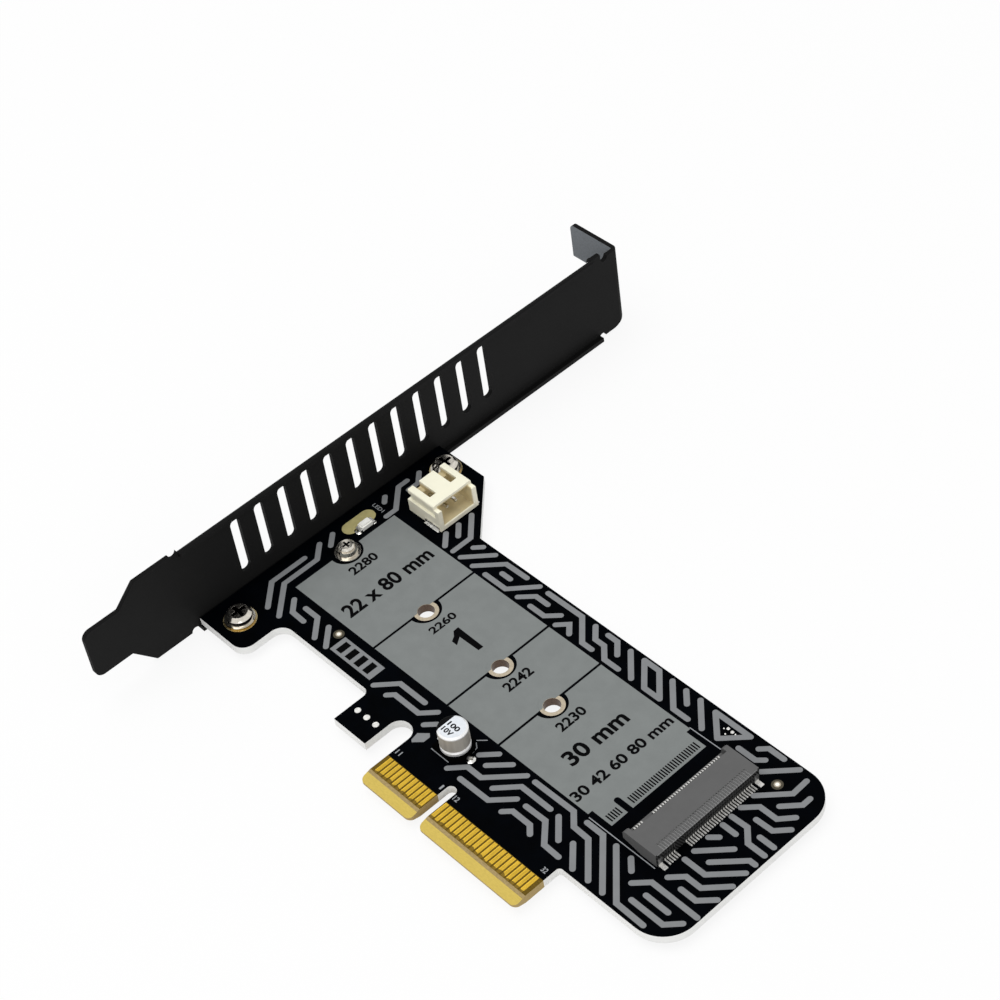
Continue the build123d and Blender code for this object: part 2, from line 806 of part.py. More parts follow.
# Capacitor base: a square plate with two cut corners and a round seat for the can
base_low_z = top_z + lead_thickness
base_high_z = base_low_z + capacitor_base_height
can_low_z = base_high_z - capacitor_recess
capacitor_place = (capacitor_x, capacitor_y)
with BuildPart() as capacitor_base:
    with BuildSketch(Plane.XY.offset(base_low_z)) as base_outline:
        with Locations(capacitor_place):
            Rectangle(capacitor_base_size, capacitor_base_size)
        chamfer(base_outline.vertices().group_by(Axis.X)[-1], capacitor_base_chamfer)
    extrude(amount=capacitor_base_height)
    with BuildSketch(Plane.XY.offset(base_high_z)):
        with Locations(capacitor_place):
            Circle(capacitor_radius + capacitor_clearance)
    extrude(amount=-capacitor_recess, mode=Mode.SUBTRACT)
capacitor_base.part.label = "capacitor_base"
export_step(capacitor_base.part, "parts/capacitor_base.step")

# Capacitor can: turned shape with a bead rolled in above the base
can_high_z = top_z + capacitor_top
bead_z = base_high_z + bead_above_base
bead_radius = capacitor_radius - bead_depth
with BuildPart() as capacitor_can:
    with BuildSketch(Plane.XZ.offset(-capacitor_y)) as can_profile:
        with BuildLine():
            Polyline(
                (capacitor_x, can_low_z),
                (capacitor_x + capacitor_radius, can_low_z),
                (capacitor_x + capacitor_radius, bead_z),
                (capacitor_x + bead_radius, bead_z + bead_height / 2),
                (capacitor_x + capacitor_radius, bead_z + bead_height),
                (capacitor_x + capacitor_radius, can_high_z),
                (capacitor_x, can_high_z),
                close=True,
            )
        make_face()
        can_edge = nearest_corner(can_profile, capacitor_x + capacitor_radius, can_high_z)
        chamfer(can_edge, capacitor_edge)
    revolve(axis=Axis((capacitor_x, capacitor_y, 0), (0, 0, 1)))
capacitor_can.part.label = "capacitor_can"
export_step(capacitor_can.part, "parts/capacitor_can.step")

# Capacitor leads: two flat strips under the base
lead_length = capacitor_base_size / 2 - lead_inset + lead_reach
lead_offset = lead_inset + lead_length / 2
with BuildPart() as capacitor_leads:
    with BuildSketch(Plane.XY.offset(top_z)):
        with Locations(capacitor_place):
            with GridLocations(2 * lead_offset, 0, 2, 1):
                Rectangle(lead_length, lead_width)
    extrude(amount=lead_thickness)
capacitor_leads.part.label = "capacitor_leads"
export_step(capacitor_leads.part, "parts/capacitor_leads.step")

# Fan header: faces and levels that the housing, pins and tabs share
header_front_x = bracket_face_x + header_offset
header_back_x = header_front_x - header_depth
header_low_z = top_z + header_seat_gap
header_high_z = top_z + header_top
cavity_low_z = header_low_z + header_floor
cavity_high_z = header_high_z - header_roof
pin_centres = (header_axis_y - pin_pitch / 2, header_axis_y + pin_pitch / 2)
pin_z = top_z + pin_level

# Header housing: open to the front, with two slots in the roof, a recess in each side
# and a heel at each back corner
with BuildPart() as header_housing:
    with BuildSketch(Plane.YZ.offset(header_back_x)) as header_section:
        with Locations((header_axis_y, header_low_z)):
            Rectangle(header_width, header_high_z - header_low_z, align=(Align.CENTER, Align.MIN))
        chamfer(header_section.vertices().group_by(Axis.Y)[-1], header_edge)
    extrude(amount=header_depth)
    with BuildSketch(Plane.YZ.offset(header_front_x)):
        with Locations((header_axis_y, cavity_low_z)):
            Rectangle(
                header_width - 2 * header_side_wall,
                cavity_high_z - cavity_low_z,
                align=(Align.CENTER, Align.MIN),
            )
    extrude(amount=-header_cavity_depth, mode=Mode.SUBTRACT)
    with BuildSketch(Plane.XY.offset(header_high_z)):
        with Locations((header_front_x, header_axis_y)):
            Rectangle(
                header_roof_setback,
                header_width,
                align=(Align.MAX, Align.CENTER),
            )
    extrude(amount=-header_roof, mode=Mode.SUBTRACT)
    with BuildSketch(Plane.XY.offset(header_high_z)):
        with Locations((header_back_x + header_slot_length / 2, header_axis_y)):
            with GridLocations(0, header_slot_spacing, 1, 2):
                Rectangle(header_slot_length, header_slot_width)
    extrude(amount=-header_slot_depth, mode=Mode.SUBTRACT)
    with BuildSketch(Plane.YZ.offset(header_back_x)):
        with Locations((header_axis_y, header_low_z + header_groove_level)):
            with GridLocations(header_width, 0, 2, 1):
                Rectangle(
                    2 * header_groove_depth,
                    header_groove_height,
                    align=(Align.CENTER, Align.MIN),
                )
    extrude(amount=header_depth - header_groove_setback, mode=Mode.SUBTRACT)
    with BuildSketch(Plane.YZ.offset(header_back_x)):
        with Locations((header_axis_y, header_low_z)):
            with GridLocations(header_width - header_heel_width, 0, 2, 1):
                Rectangle(
                    header_heel_width,
                    header_groove_level,
                    align=(Align.CENTER, Align.MIN),
                )
    extrude(amount=-header_heel_length)
    with BuildSketch(Plane.YZ.offset(header_back_x)):
        for pin_y in pin_centres:
            with Locations((pin_y, pin_z)):
                Rectangle(pin_size + 2 * pin_clearance, pin_size + 2 * pin_clearance)
    extrude(amount=header_depth - header_cavity_depth, mode=Mode.SUBTRACT)
header_housing.part.label = "header_housing"
export_step(header_housing.part, "parts/header_housing.step")

# Header pins: square wire from the cavity through the back wall and down to the board
pin_tip_x = header_front_x - pin_tip_setback
pin_drop_x = header_back_x - pin_clearance
with BuildPart() as header_pins:
    with BuildSketch(*strip_planes(pin_centres, pin_size)):
        bent_strip(
            pin_size,
            (pin_drop_x - pin_size - pin_foot_length, top_z),
            (pin_drop_x, top_z),
            (pin_drop_x, pin_z - pin_size / 2),
            (pin_tip_x, pin_z - pin_size / 2),
        )
    extrude(amount=-pin_size)
header_pins.part.label = "header_pins"
export_step(header_pins.part, "parts/header_pins.step")

# Fixing tabs of the header: one angle strip soldered down along each side
tab_middle_x = header_front_x - fixing_tab_setback - fixing_tab_length / 2
with BuildPart() as header_fixing_tabs:
    for side in (-1, 1):
        wall_y = header_axis_y + side * header_width / 2
        with BuildSketch(Plane.XY.offset(top_z)):
            with Locations((tab_middle_x, wall_y + side * (fixing_tab_foot + fixing_tab_thickness) / 2)):
                Rectangle(fixing_tab_length, fixing_tab_foot + fixing_tab_thickness)
        extrude(amount=fixing_tab_thickness)
        with BuildSketch(Plane.XY.offset(top_z)):
            with Locations((tab_middle_x, wall_y + side * fixing_tab_thickness / 2)):
                Rectangle(fixing_tab_length, fixing_tab_thickness)
        extrude(amount=fixing_tab_height)
header_fixing_tabs.part.label = "header_fixing_tabs"
export_step(header_fixing_tabs.part, "parts/header_fixing_tabs.step")

# Light emitting diode: moulded body with a raised lens, between two end terminals
led_place = (bracket_face_x + led_offset, led_y)
led_body_length = led_length - 2 * led_terminal_length
with BuildPart() as led_body:
    with BuildSketch(Plane.XY.offset(top_z)):
        with Locations(led_place):
            Rectangle(led_width, led_body_length)
    extrude(amount=led_height)
    with BuildSketch(Plane.XY.offset(top_z + led_height)):
        with Locations(led_place):
            Rectangle(led_width - 2 * led_lens_inset, led_body_length - 2 * led_lens_inset)
    extrude(amount=led_lens_height)
led_body.part.label = "led_body"
export_step(led_body.part, "parts/led_body.step")

# Terminals of the diode
with BuildPart() as led_terminals:
    with BuildSketch(Plane.XY.offset(top_z)):
        with Locations(led_place):
            with GridLocations(0, led_length - led_terminal_length, 1, 2):
                Rectangle(led_width, led_terminal_length)
    extrude(amount=led_terminal_height)
led_terminals.part.label = "led_terminals"
export_step(led_terminals.part, "parts/led_terminals.step")

# Chip parts on the solder side: ceramic bodies between metal end terminals
chip_body_length = chip_length - 2 * chip_terminal_length
chip_resistor_place = (bracket_face_x + chip_resistor_offset, led_y)
with BuildPart() as chip_capacitors:
    with BuildSketch(Plane.XY):
        with Locations(*chip_capacitor_places):
            Rectangle(chip_body_length, chip_width)
    extrude(amount=-chip_height)
chip_capacitors.part.label = "chip_capacitors"
export_step(chip_capacitors.part, "parts/chip_capacitors.step")

with BuildPart() as chip_resistors:
    with BuildSketch(Plane.XY):
        with Locations(chip_resistor_place):
            Rectangle(chip_body_length, chip_width)
    extrude(amount=-chip_height)
chip_resistors.part.label = "chip_resistors"
export_step(chip_resistors.part, "parts/chip_resistors.step")

with BuildPart() as chip_terminals:
    with BuildSketch(Plane.XY):
        with Locations(*chip_capacitor_places, chip_resistor_place):
            with GridLocations(chip_length - chip_terminal_length, 0, 2, 1):
                Rectangle(chip_terminal_length, chip_width + 2 * chip_terminal_skin)
    extrude(amount=-(chip_height + chip_terminal_skin))
chip_terminals.part.label = "chip_terminals"
export_step(chip_terminals.part, "parts/chip_terminals.step")

# Bare pads: two alignment marks and a row of test pads on the hook
with BuildPart() as fiducial_pads:
    with BuildSketch(Plane.XY.offset(top_z)):
        with Locations(*fiducial_places):
            Circle(fiducial_radius)
    extrude(amount=pad_thickness)
fiducial_pads.part.label = "fiducial_pads"
export_step(fiducial_pads.part, "parts/fiducial_pads.step")

with BuildPart() as test_pads:
    with BuildSketch(Plane.XY.offset(top_z)):
        with Locations(((hook_left_x + hook_right_x) / 2, test_pad_row_y)):
            with GridLocations(test_pad_pitch, 0, test_pad_columns, 1):
                Circle(test_pad_radius)
    extrude(amount=pad_thickness)
test_pads.part.label = "test_pads"
export_step(test_pads.part, "parts/test_pads.step")
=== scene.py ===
"""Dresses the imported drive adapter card: finishes, board print, solder and fine hardware."""
import math

import bmesh
import bpy
from bpy.props import FloatProperty, FloatVectorProperty, PointerProperty
from bpy.types import Operator, Panel, PropertyGroup
from mathutils import Matrix, Vector


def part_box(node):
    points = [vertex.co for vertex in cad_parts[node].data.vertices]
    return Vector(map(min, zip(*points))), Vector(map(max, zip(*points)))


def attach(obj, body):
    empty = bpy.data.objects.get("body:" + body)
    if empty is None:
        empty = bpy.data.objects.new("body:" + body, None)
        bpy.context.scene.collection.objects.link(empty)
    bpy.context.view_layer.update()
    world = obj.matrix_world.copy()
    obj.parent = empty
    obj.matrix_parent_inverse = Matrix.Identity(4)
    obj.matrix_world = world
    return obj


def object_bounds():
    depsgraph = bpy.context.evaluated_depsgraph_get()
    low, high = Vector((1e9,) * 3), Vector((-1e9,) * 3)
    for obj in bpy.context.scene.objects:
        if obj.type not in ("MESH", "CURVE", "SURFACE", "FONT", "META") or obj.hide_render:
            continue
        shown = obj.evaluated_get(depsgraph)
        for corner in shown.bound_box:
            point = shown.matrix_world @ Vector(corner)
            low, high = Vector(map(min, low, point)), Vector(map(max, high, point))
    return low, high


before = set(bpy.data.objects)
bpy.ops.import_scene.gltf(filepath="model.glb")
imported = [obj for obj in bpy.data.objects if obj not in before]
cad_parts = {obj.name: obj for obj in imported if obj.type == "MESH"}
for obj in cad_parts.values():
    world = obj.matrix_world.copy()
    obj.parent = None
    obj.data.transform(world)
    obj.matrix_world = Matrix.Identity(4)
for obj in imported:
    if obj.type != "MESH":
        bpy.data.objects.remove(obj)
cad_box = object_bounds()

bl_info = {
    "name": "Drive adapter card",
    "version": (1, 0, 0),
    "blender": (4, 5, 0),
    "location": "View3D > Sidebar > Card",
    "description": "Dresses the adapter card with finishes, print, solder and fine hardware",
    "category": "Object",
}

MM = 0.001
BOARD_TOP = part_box("pcb")[1][2]
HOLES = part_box("module_hole_plating")
MODULE_AXIS = (HOLES[0][1] + HOLES[1][1]) / 2
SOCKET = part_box("socket_housing")
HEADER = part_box("header_housing")
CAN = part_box("capacitor_can")

# Where the module holes lie, told from the socket's module stop
MODULE_STOP = 29.4 * MM
MODULE_LENGTHS = (30 * MM, 42 * MM, 60 * MM, 80 * MM)

# Bare patches of the board: the alignment marks and the window beside the diode
PATCH_HEIGHT = 0.01 * MM
FIDUCIALS = ((-37.7 * MM, 17.0 * MM), (36.0 * MM, 41.9 * MM))
FIDUCIAL_CORE = 0.33 * MM
FIDUCIAL_PAD = 0.57 * MM
FIDUCIAL_CLEARING = 0.95 * MM
WINDOW_ENDS = ((-54.75 * MM, 33.9 * MM), (-54.75 * MM, 37.8 * MM))
WINDOW_WIDTH = 2.9 * MM

# Height of the ink on the plated rings and on the can
THIN_INK = 0.02 * MM

# Module field: tile ends before the hole centres, plated rings, corner steps and key notch
TILE_OFFSET = 0.45 * MM
RING_RADIUS = 2.2 * MM
STEP_START = 18.8 * MM
STEP_DEPTH = 0.85 * MM
KEY_AXIS = 23.7 * MM
KEY_END = 20.2 * MM
KEY_RADIUS = 0.55 * MM

# Camera, read from the photograph's vanishing lines, and the point that the lamps face
CAMERA_PLACE = (0.197133, -0.117886, 0.293772)
CAMERA_RIGHT = (0.675056, 0.728638, -0.115704)
CAMERA_UP = (-0.466079, 0.542755, 0.698704)
CARD_MIDDLE = (-0.005, 0.04, 0)


def display(code):
    """Linear colour of a six-digit display colour."""
    levels = [int(code[start:start + 2], 16) / 255 for start in (0, 2, 4)]
    return tuple(level / 12.92 if level <= 0.04045 else ((level + 0.055) / 1.055) ** 2.4
                 for level in levels)


class CardBoardLook(PropertyGroup):
    """Colours of the laminate, its mask and its plating."""

    mask: FloatVectorProperty(
        name="Solder mask", description="Colour of the mask on both faces",
        subtype="COLOR", min=0, max=1, default=display("010204"))
    laminate: FloatVectorProperty(
        name="Laminate", description="Colour of the bare glass-fibre laminate",
        subtype="COLOR", min=0, max=1, default=display("b8ae78"))
    between_contacts: FloatVectorProperty(
        name="Between contacts", description="Colour of the laminate between the gold contacts",
        subtype="COLOR", min=0, max=1, default=display("6a5520"))
    tongue_edge: FloatVectorProperty(
        name="Tongue edge",
        description="Colour of the tongues' side edges and of the band at the bevel",
        subtype="COLOR", min=0, max=1, default=display("b09a6c"))
    cut_edge: FloatVectorProperty(
        name="Cut edge", description="Colour of the routed board edge",
        subtype="COLOR", min=0, max=1, default=display("f4f4f2"))
    bevel: FloatVectorProperty(
        name="Bevel", description="Colour of the ground bevel at the contact tips",
        subtype="COLOR", min=0, max=1, default=display("d2b95f"))
    gold: FloatVectorProperty(
        name="Gold", description="Colour of the plated edge contacts",
        subtype="COLOR", min=0, max=1, default=display("c6a237"))
    clearing: FloatVectorProperty(
        name="Clearing", description="Colour of the bare board round the alignment marks",
        subtype="COLOR", min=0, max=1, default=display("4f4a3e"))
    bevel_length: FloatProperty(
        name="Bevel length", description="Length of the ground bevel from the tongue's tip",
        unit="LENGTH", default=2.2 * MM)
    mask_end: FloatProperty(
        name="Mask end", description="Distance from the contact tip at which the mask begins",
        unit="LENGTH", default=5.95 * MM)
    contact_pitch: FloatProperty(
        name="Contact pitch", description="Distance between neighbouring edge contacts",
        unit="LENGTH", default=1.0 * MM)


class CardPrintLook(PropertyGroup):
    """Colours and sizes of the printed marks."""

    ink: FloatVectorProperty(
        name="Grey ink", description="Colour of the printed module field",
        subtype="COLOR", min=0, max=1, default=display("828685"))
    stroke_ink: FloatVectorProperty(
        name="Stroke ink", description="Colour of the printed strokes",
        subtype="COLOR", min=0, max=1, default=display("87898b"))
    pale_ink: FloatVectorProperty(
        name="Pale ink", description="Colour of the fine outlines and numbers",
        subtype="COLOR", min=0, max=1, default=display("9a9da0"))
    black_ink: FloatVectorProperty(
        name="Black ink", description="Colour of the lettering on the field",
        subtype="COLOR", min=0, max=1, default=display("030304"))
    thickness: FloatProperty(
        name="Ink thickness", description="Height of the ink above the mask",
        unit="LENGTH", default=0.03 * MM)
    stroke_width: FloatProperty(
        name="Stroke width", description="Width of the printed strokes",
        unit="LENGTH", default=0.97 * MM)
    fine_width: FloatProperty(
        name="Fine width", description="Width of the thin outlines beside the parts",
        unit="LENGTH", default=0.16 * MM)
    field_start: FloatProperty(
        name="Field start", description="X of the field's end near the bracket",
        unit="LENGTH", default=-51.27 * MM)
    field_end: FloatProperty(
        name="Field end", description="X of the field's end near the socket",
        unit="LENGTH", default=23.0 * MM)
    field_width: FloatProperty(
        name="Field width", description="Width of the printed module field",
        unit="LENGTH", default=22.0 * MM)
    bore_clearance: FloatProperty(
        name="Bore clearance", description="Radius left bare at a hole where a length ends",
        unit="LENGTH", default=1.5 * MM)
    line_width: FloatProperty(
        name="Dividing line", description="Width of the gaps between the module lengths",
        unit="LENGTH", default=0.45 * MM)
    halo_radius: FloatProperty(
        name="Hole clearance", description="Radius left bare of ink at each module hole",
        unit="LENGTH", default=2.95 * MM)


class CardMetalLook(PropertyGroup):
    """Colours of the bare and painted metals."""

    tin: FloatVectorProperty(
        name="Tin", description="Colour of tinned contacts and solder",
        subtype="COLOR", min=0, max=1, default=display("d9d8d4"))
    nickel: FloatVectorProperty(
        name="Nickel", description="Colour of nickel-plated screws and standoff",
        subtype="COLOR", min=0, max=1, default=display("cfcac0"))
    # Painted shade: near black on the rear contacts above their feet, for the shade of the
    # socket's rear wall
    riser_painted_shade: FloatVectorProperty(
        name="Riser", description="Colour of the rear contacts above their feet",
        subtype="COLOR", min=0, max=1, default=display("202020"))
    # Painted shade: mid grey on the socket's tabs above their feet, for the shade they stand in
    anchor: FloatVectorProperty(
        name="Anchor", description="Colour of the socket's tabs above their feet",
        subtype="COLOR", min=0, max=1, default=display("707070"))
    flange_edge: FloatVectorProperty(
        name="Flange edge", description="Colour at the foot of the bracket screws",
        subtype="COLOR", min=0, max=1, default=display("b09455"))
    # Painted shade: near black inside the screws' cross recesses
    recess_painted_shade: FloatVectorProperty(
        name="Recess", description="Colour inside the cross recess of a screw",
        subtype="COLOR", min=0, max=1, default=display("050505"))
    screw_ring: FloatVectorProperty(
        name="Screw ring", description="Colour of the plated rings of the bracket screws",
        subtype="COLOR", min=0, max=1, default=display("c9b98c"))
    fiducial_core: FloatVectorProperty(
        name="Mark centre", description="Colour in the middle of an alignment mark",
        subtype="COLOR", min=0, max=1, default=(0.95, 0.93, 0.86))
    ring: FloatVectorProperty(
        name="Ring", description="Colour of the plated rings of the module holes",
        subtype="COLOR", min=0, max=1, default=display("b5a994"))
    # Painted shade: dark brown on the walls inside the plated holes
    bore_painted_shade: FloatVectorProperty(
        name="Bore", description="Colour inside the plated holes",
        subtype="COLOR", min=0, max=1, default=display("5c4a3e"))
    aluminium: FloatVectorProperty(
        name="Aluminium", description="Colour of the capacitor can's wall",
        subtype="COLOR", min=0, max=1, default=display("cfcac1"))
    can_rim: FloatVectorProperty(
        name="Can rim", description="Colour of the can's bead and rim",
        subtype="COLOR", min=0, max=1, default=(0.93, 0.93, 0.93))
    can_top: FloatVectorProperty(
        name="Can top", description="Colour of the capacitor's top",
        subtype="COLOR", min=0, max=1, default=display("d9dde2"))
    bracket_paint: FloatVectorProperty(
        name="Bracket paint", description="Colour of the bracket's black coating",
        subtype="COLOR", min=0, max=1, default=display("1f1f1f"))
    # Painted light: pale grey on the tab's face that the lamp lights, over the black paint
    bracket_tab_painted_light: FloatVectorProperty(
        name="Bracket tab", description="Colour of the tab's lit face",
        subtype="COLOR", min=0, max=1, default=display("777b7f"))


class CardPlasticLook(PropertyGroup):
    """Colours of the mouldings."""

    socket: FloatVectorProperty(
        name="Socket", description="Colour of the module socket's roof",
        subtype="COLOR", min=0, max=1, default=display("616161"))
    # Painted shade: the socket's walls are a slightly darker copy of its roof
    socket_side_painted_shade: FloatVectorProperty(
        name="Socket sides", description="Colour of the module socket's walls",
        subtype="COLOR", min=0, max=1, default=display("5e5e5e"))
    # Painted shade: the rear wall and its ribs are near black, for the shade on that wall
    socket_rear_painted_shade: FloatVectorProperty(
        name="Socket rear", description="Colour of the socket's rear wall between its ribs",
        subtype="COLOR", min=0, max=1, default=display("101010"))
    socket_rib_painted_shade: FloatVectorProperty(
        name="Socket ribs", description="Colour of the ribs on the socket's rear wall",
        subtype="COLOR", min=0, max=1, default=display("3a3a3a"))
    header: FloatVectorProperty(
        name="Header", description="Colour of the fan header's top",
        subtype="COLOR", min=0, max=1, default=display("fcf9e2"))
    # Painted shade: the header's walls are a slightly darker copy of its top
    header_side_painted_shade: FloatVectorProperty(
        name="Header sides", description="Colour of the fan header's walls",
        subtype="COLOR", min=0, max=1, default=display("f0ebd6"))
    # Painted shade: tan inside the header's mouth and slots, where shade falls
    header_mouth_painted_shade: FloatVectorProperty(
        name="Header mouth", description="Colour inside the fan header's mouth and slots",
        subtype="COLOR", min=0, max=1, default=display("d6c79e"))
    lens: FloatVectorProperty(
        name="Lens", description="Colour of the diode's lens",
        subtype="COLOR", min=0, max=1, default=display("fbfaf4"))
    resin: FloatVectorProperty(
        name="Resin", description="Colour of black moulded resin",
        subtype="COLOR", min=0, max=1, default=display("050505"))
    ceramic: FloatVectorProperty(
        name="Ceramic", description="Colour of the chip capacitors",
        subtype="COLOR", min=0, max=1, default=display("8a6a45"))


class CardStageLook(PropertyGroup):
    """Camera, floor and light levels."""

    lens: FloatProperty(
        name="Focal length", description="Focal length on a sensor 36 mm wide",
        subtype="DISTANCE_CAMERA", default=87.64)
    shift_across: FloatProperty(
        name="Shift across", description="Sideways shift of the view, as a share of its width",
        subtype="FACTOR", default=-0.001)
    shift_up: FloatProperty(
        name="Shift up", description="Upward shift of the view, as a share of its width",
        subtype="FACTOR", default=0.0025)
    floor_colour: FloatVectorProperty(
        name="Floor", description="Colour of the floor",
        subtype="COLOR", min=0, max=1, default=(0.93, 0.93, 0.93))
    floor_white: FloatProperty(
        name="Floor white", description="Share of plain white that the floor shows the camera",
        subtype="FACTOR", min=0, max=1, default=0.88)
    sky_level: FloatProperty(
        name="Sky level", description="Strength of the even light from all round",
        min=0, default=0.6)
    key_power: FloatProperty(
        name="Key power", description="Power of the large lamp above the card",
        subtype="POWER", min=0, default=2.75)
    fill_power: FloatProperty(
        name="Fill power", description="Power of the lamp behind the camera",
        subtype="POWER", min=0, default=0.95)


class Finish:
    """A procedural material, built from coordinates on the card in metres."""

    def __init__(self, name, colour, roughness, metallic=0.0, specular=0.5, coat=0.0):
        self.material = bpy.data.materials.new(name)
        self.material.use_nodes = True
        tree = self.material.node_tree
        self.nodes = tree.nodes
        self.link = tree.links.new
        self.shader = self.nodes["Principled BSDF"]
        settings = {"Base Color": (*colour, 1), "Roughness": roughness, "Metallic": metallic,
                    "Specular IOR Level": specular, "Coat Weight": coat}
        for socket, value in settings.items():
            self.shader.inputs[socket].default_value = value
        self.material.diffuse_color = (*colour, 1)
        self.place = self.nodes.new("ShaderNodeTexCoord").outputs["Object"]

    def noise(self, size, detail=2.0, stretch=(1, 1, 1)):
        """Soft random pattern with grains of about the given size."""
        mapping = self.nodes.new("ShaderNodeMapping")
        mapping.inputs["Scale"].default_value = stretch
        texture = self.nodes.new("ShaderNodeTexNoise")
        texture.inputs["Scale"].default_value = 1 / size
        texture.inputs["Detail"].default_value = detail
        self.link(self.place, mapping.inputs["Vector"])
        self.link(mapping.outputs["Vector"], texture.inputs["Vector"])
        return texture.outputs["Fac"]

    def axis(self, vector, name):
        """One component of a vector."""
        parts = self.nodes.new("ShaderNodeSeparateXYZ")
        self.link(vector, parts.inputs["Vector"])
        return parts.outputs[name]

    def along(self, name):
        """Position on the card along one axis."""
        return self.axis(self.place, name)

    def towards(self, name):
        """How far the surface faces along one axis, with its sign."""
        geometry = self.nodes.new("ShaderNodeNewGeometry")
        return self.axis(geometry.outputs["True Normal"], name)

    def facing(self, name):
        """How far the surface faces along one axis, without sign."""
        return self.maths("ABSOLUTE", self.towards(name))

    def away_from(self, centre):
        """Distance in plan from an upright axis."""
        flat = self.nodes.new("ShaderNodeVectorMath")
        flat.operation = "MULTIPLY"
        flat.inputs[1].default_value = (1, 1, 0)
        self.link(self.place, flat.inputs[0])
        node = self.nodes.new("ShaderNodeVectorMath")
        node.operation = "DISTANCE"
        node.inputs[1].default_value = (*centre, 0)
        self.link(flat.outputs["Vector"], node.inputs[0])
        return node.outputs["Value"]

    def away_from_any(self, centres):
        """Distance in plan from the nearest of several upright axes."""
        nearest = self.away_from(centres[0])
        for centre in centres[1:]:
            nearest = self.maths("MINIMUM", nearest, self.away_from(centre))
        return nearest

    def above(self, value, limit):
        """One where a value is larger than a limit, and zero elsewhere."""
        return self.maths("GREATER_THAN", value, limit)

    def below(self, value, limit):
        """One where a value is smaller than a limit, and zero elsewhere."""
        return self.maths("LESS_THAN", value, limit)

    def both(self, first, second):
        """One where two masks are one."""
        return self.maths("MULTIPLY", first, second)

    def either(self, first, second):
        """One where at least one of two masks is one."""
        return self.maths("MAXIMUM", first, second)

    def repeat(self, value, pitch):
        """Share of the way from one step of a pitch to the next."""
        return self.maths("FRACT", self.maths("MULTIPLY", value, 1 / pitch))

    def off_centre(self, name, box):
        """Distance from the middle of a box along one axis, less half of its size."""
        index = "XYZ".index(name)
        middle = (box[0][index] + box[1][index]) / 2
        reach = (box[1][index] - box[0][index]) / 2
        distance = self.maths("ABSOLUTE", self.maths("SUBTRACT", self.along(name), middle))
        return self.maths("SUBTRACT", distance, reach)

    def maths(self, operation, first, second=None):
        """Result of one maths step on values or outputs."""
        node = self.nodes.new("ShaderNodeMath")
        node.operation = operation
        for socket, value in zip(node.inputs, (first, second)):
            if value is None:
                continue
            if isinstance(value, (int, float)):
                socket.default_value = value
            else:
                self.link(value, socket)
        return node.outputs["Value"]

    def spread(self, pattern, low=0.0, high=1.0):
        """Maps the middle of a pattern's range to the range from low to high."""
        node = self.nodes.new("ShaderNodeMapRange")
        ends = {"From Min": 0.3, "From Max": 0.7, "To Min": low, "To Max": high}
        for socket, value in ends.items():
            node.inputs[socket].default_value = value
        self.link(pattern, node.inputs["Value"])
        return node.outputs["Result"]

    def mix(self, factor, first, second):
        """Colour between two colours or outputs."""
        node = self.nodes.new("ShaderNodeMix")
        node.data_type = "RGBA"
        self.link(factor, node.inputs["Factor"])
        for name, value in (("A_Color", first), ("B_Color", second)):
            socket = next(s for s in node.inputs if s.identifier == name)
            if isinstance(value, bpy.types.NodeSocket):
                self.link(value, socket)
            else:
                socket.default_value = (*value, 1)
        return next(s for s in node.outputs if s.identifier == "Result_Color")

    def tint(self, factor, colour, dark, light):
        """A colour that a pattern varies from a darker to a lighter shade."""
        return self.mix(factor, shade(colour, dark), shade(colour, light))

    def colour(self, output):
        """Gives the shader its colour."""
        self.link(output, self.shader.inputs["Base Color"])

    def roughness(self, pattern, low, high):
        """Gloss that a pattern varies between two roughnesses."""
        self.link(self.spread(pattern, low, high), self.shader.inputs["Roughness"])

    def relief(self, pattern, depth):
        """Fine relief of the given depth in metres."""
        node = self.nodes.new("ShaderNodeBump")
        node.inputs["Distance"].default_value = depth
        self.link(pattern, node.inputs["Height"])
        self.link(node.outputs["Normal"], self.shader.inputs["Normal"])

    def surface(self, pattern, low, high, depth):
        """Gloss and relief that follow one pattern."""
        self.roughness(pattern, low, high)
        self.relief(pattern, depth)


def shade(colour, factor):
    """A colour made lighter or darker."""
    return tuple(min(1.0, channel * factor) for channel in colour)


def mottled(name, colour, roughness, grain, contrast, relief=0.004 * MM, **sockets):
    """Finish whose colour, gloss and surface vary in soft grains."""
    finish = Finish(name, colour, roughness, **sockets)
    cloud = finish.spread(finish.noise(grain, 4.0))
    fine = finish.noise(grain / 12, 3.0)
    finish.colour(finish.tint(cloud, colour, 1 - contrast, 1 + contrast))
    finish.surface(fine, roughness * 0.85, roughness * 1.2, relief)
    return finish.material


def metal_finish(name, colour, roughness, grain, contrast=0.12):
    """Bright metal with cloudy marks."""
    finish = Finish(name, colour, roughness, metallic=1.0)
    marks = finish.noise(grain, 3.0)
    finish.colour(finish.tint(finish.spread(marks), colour, 1 - contrast, 1 + contrast))
    finish.surface(marks, roughness * 0.75, roughness * 1.3, 0.003 * MM)
    return finish.material


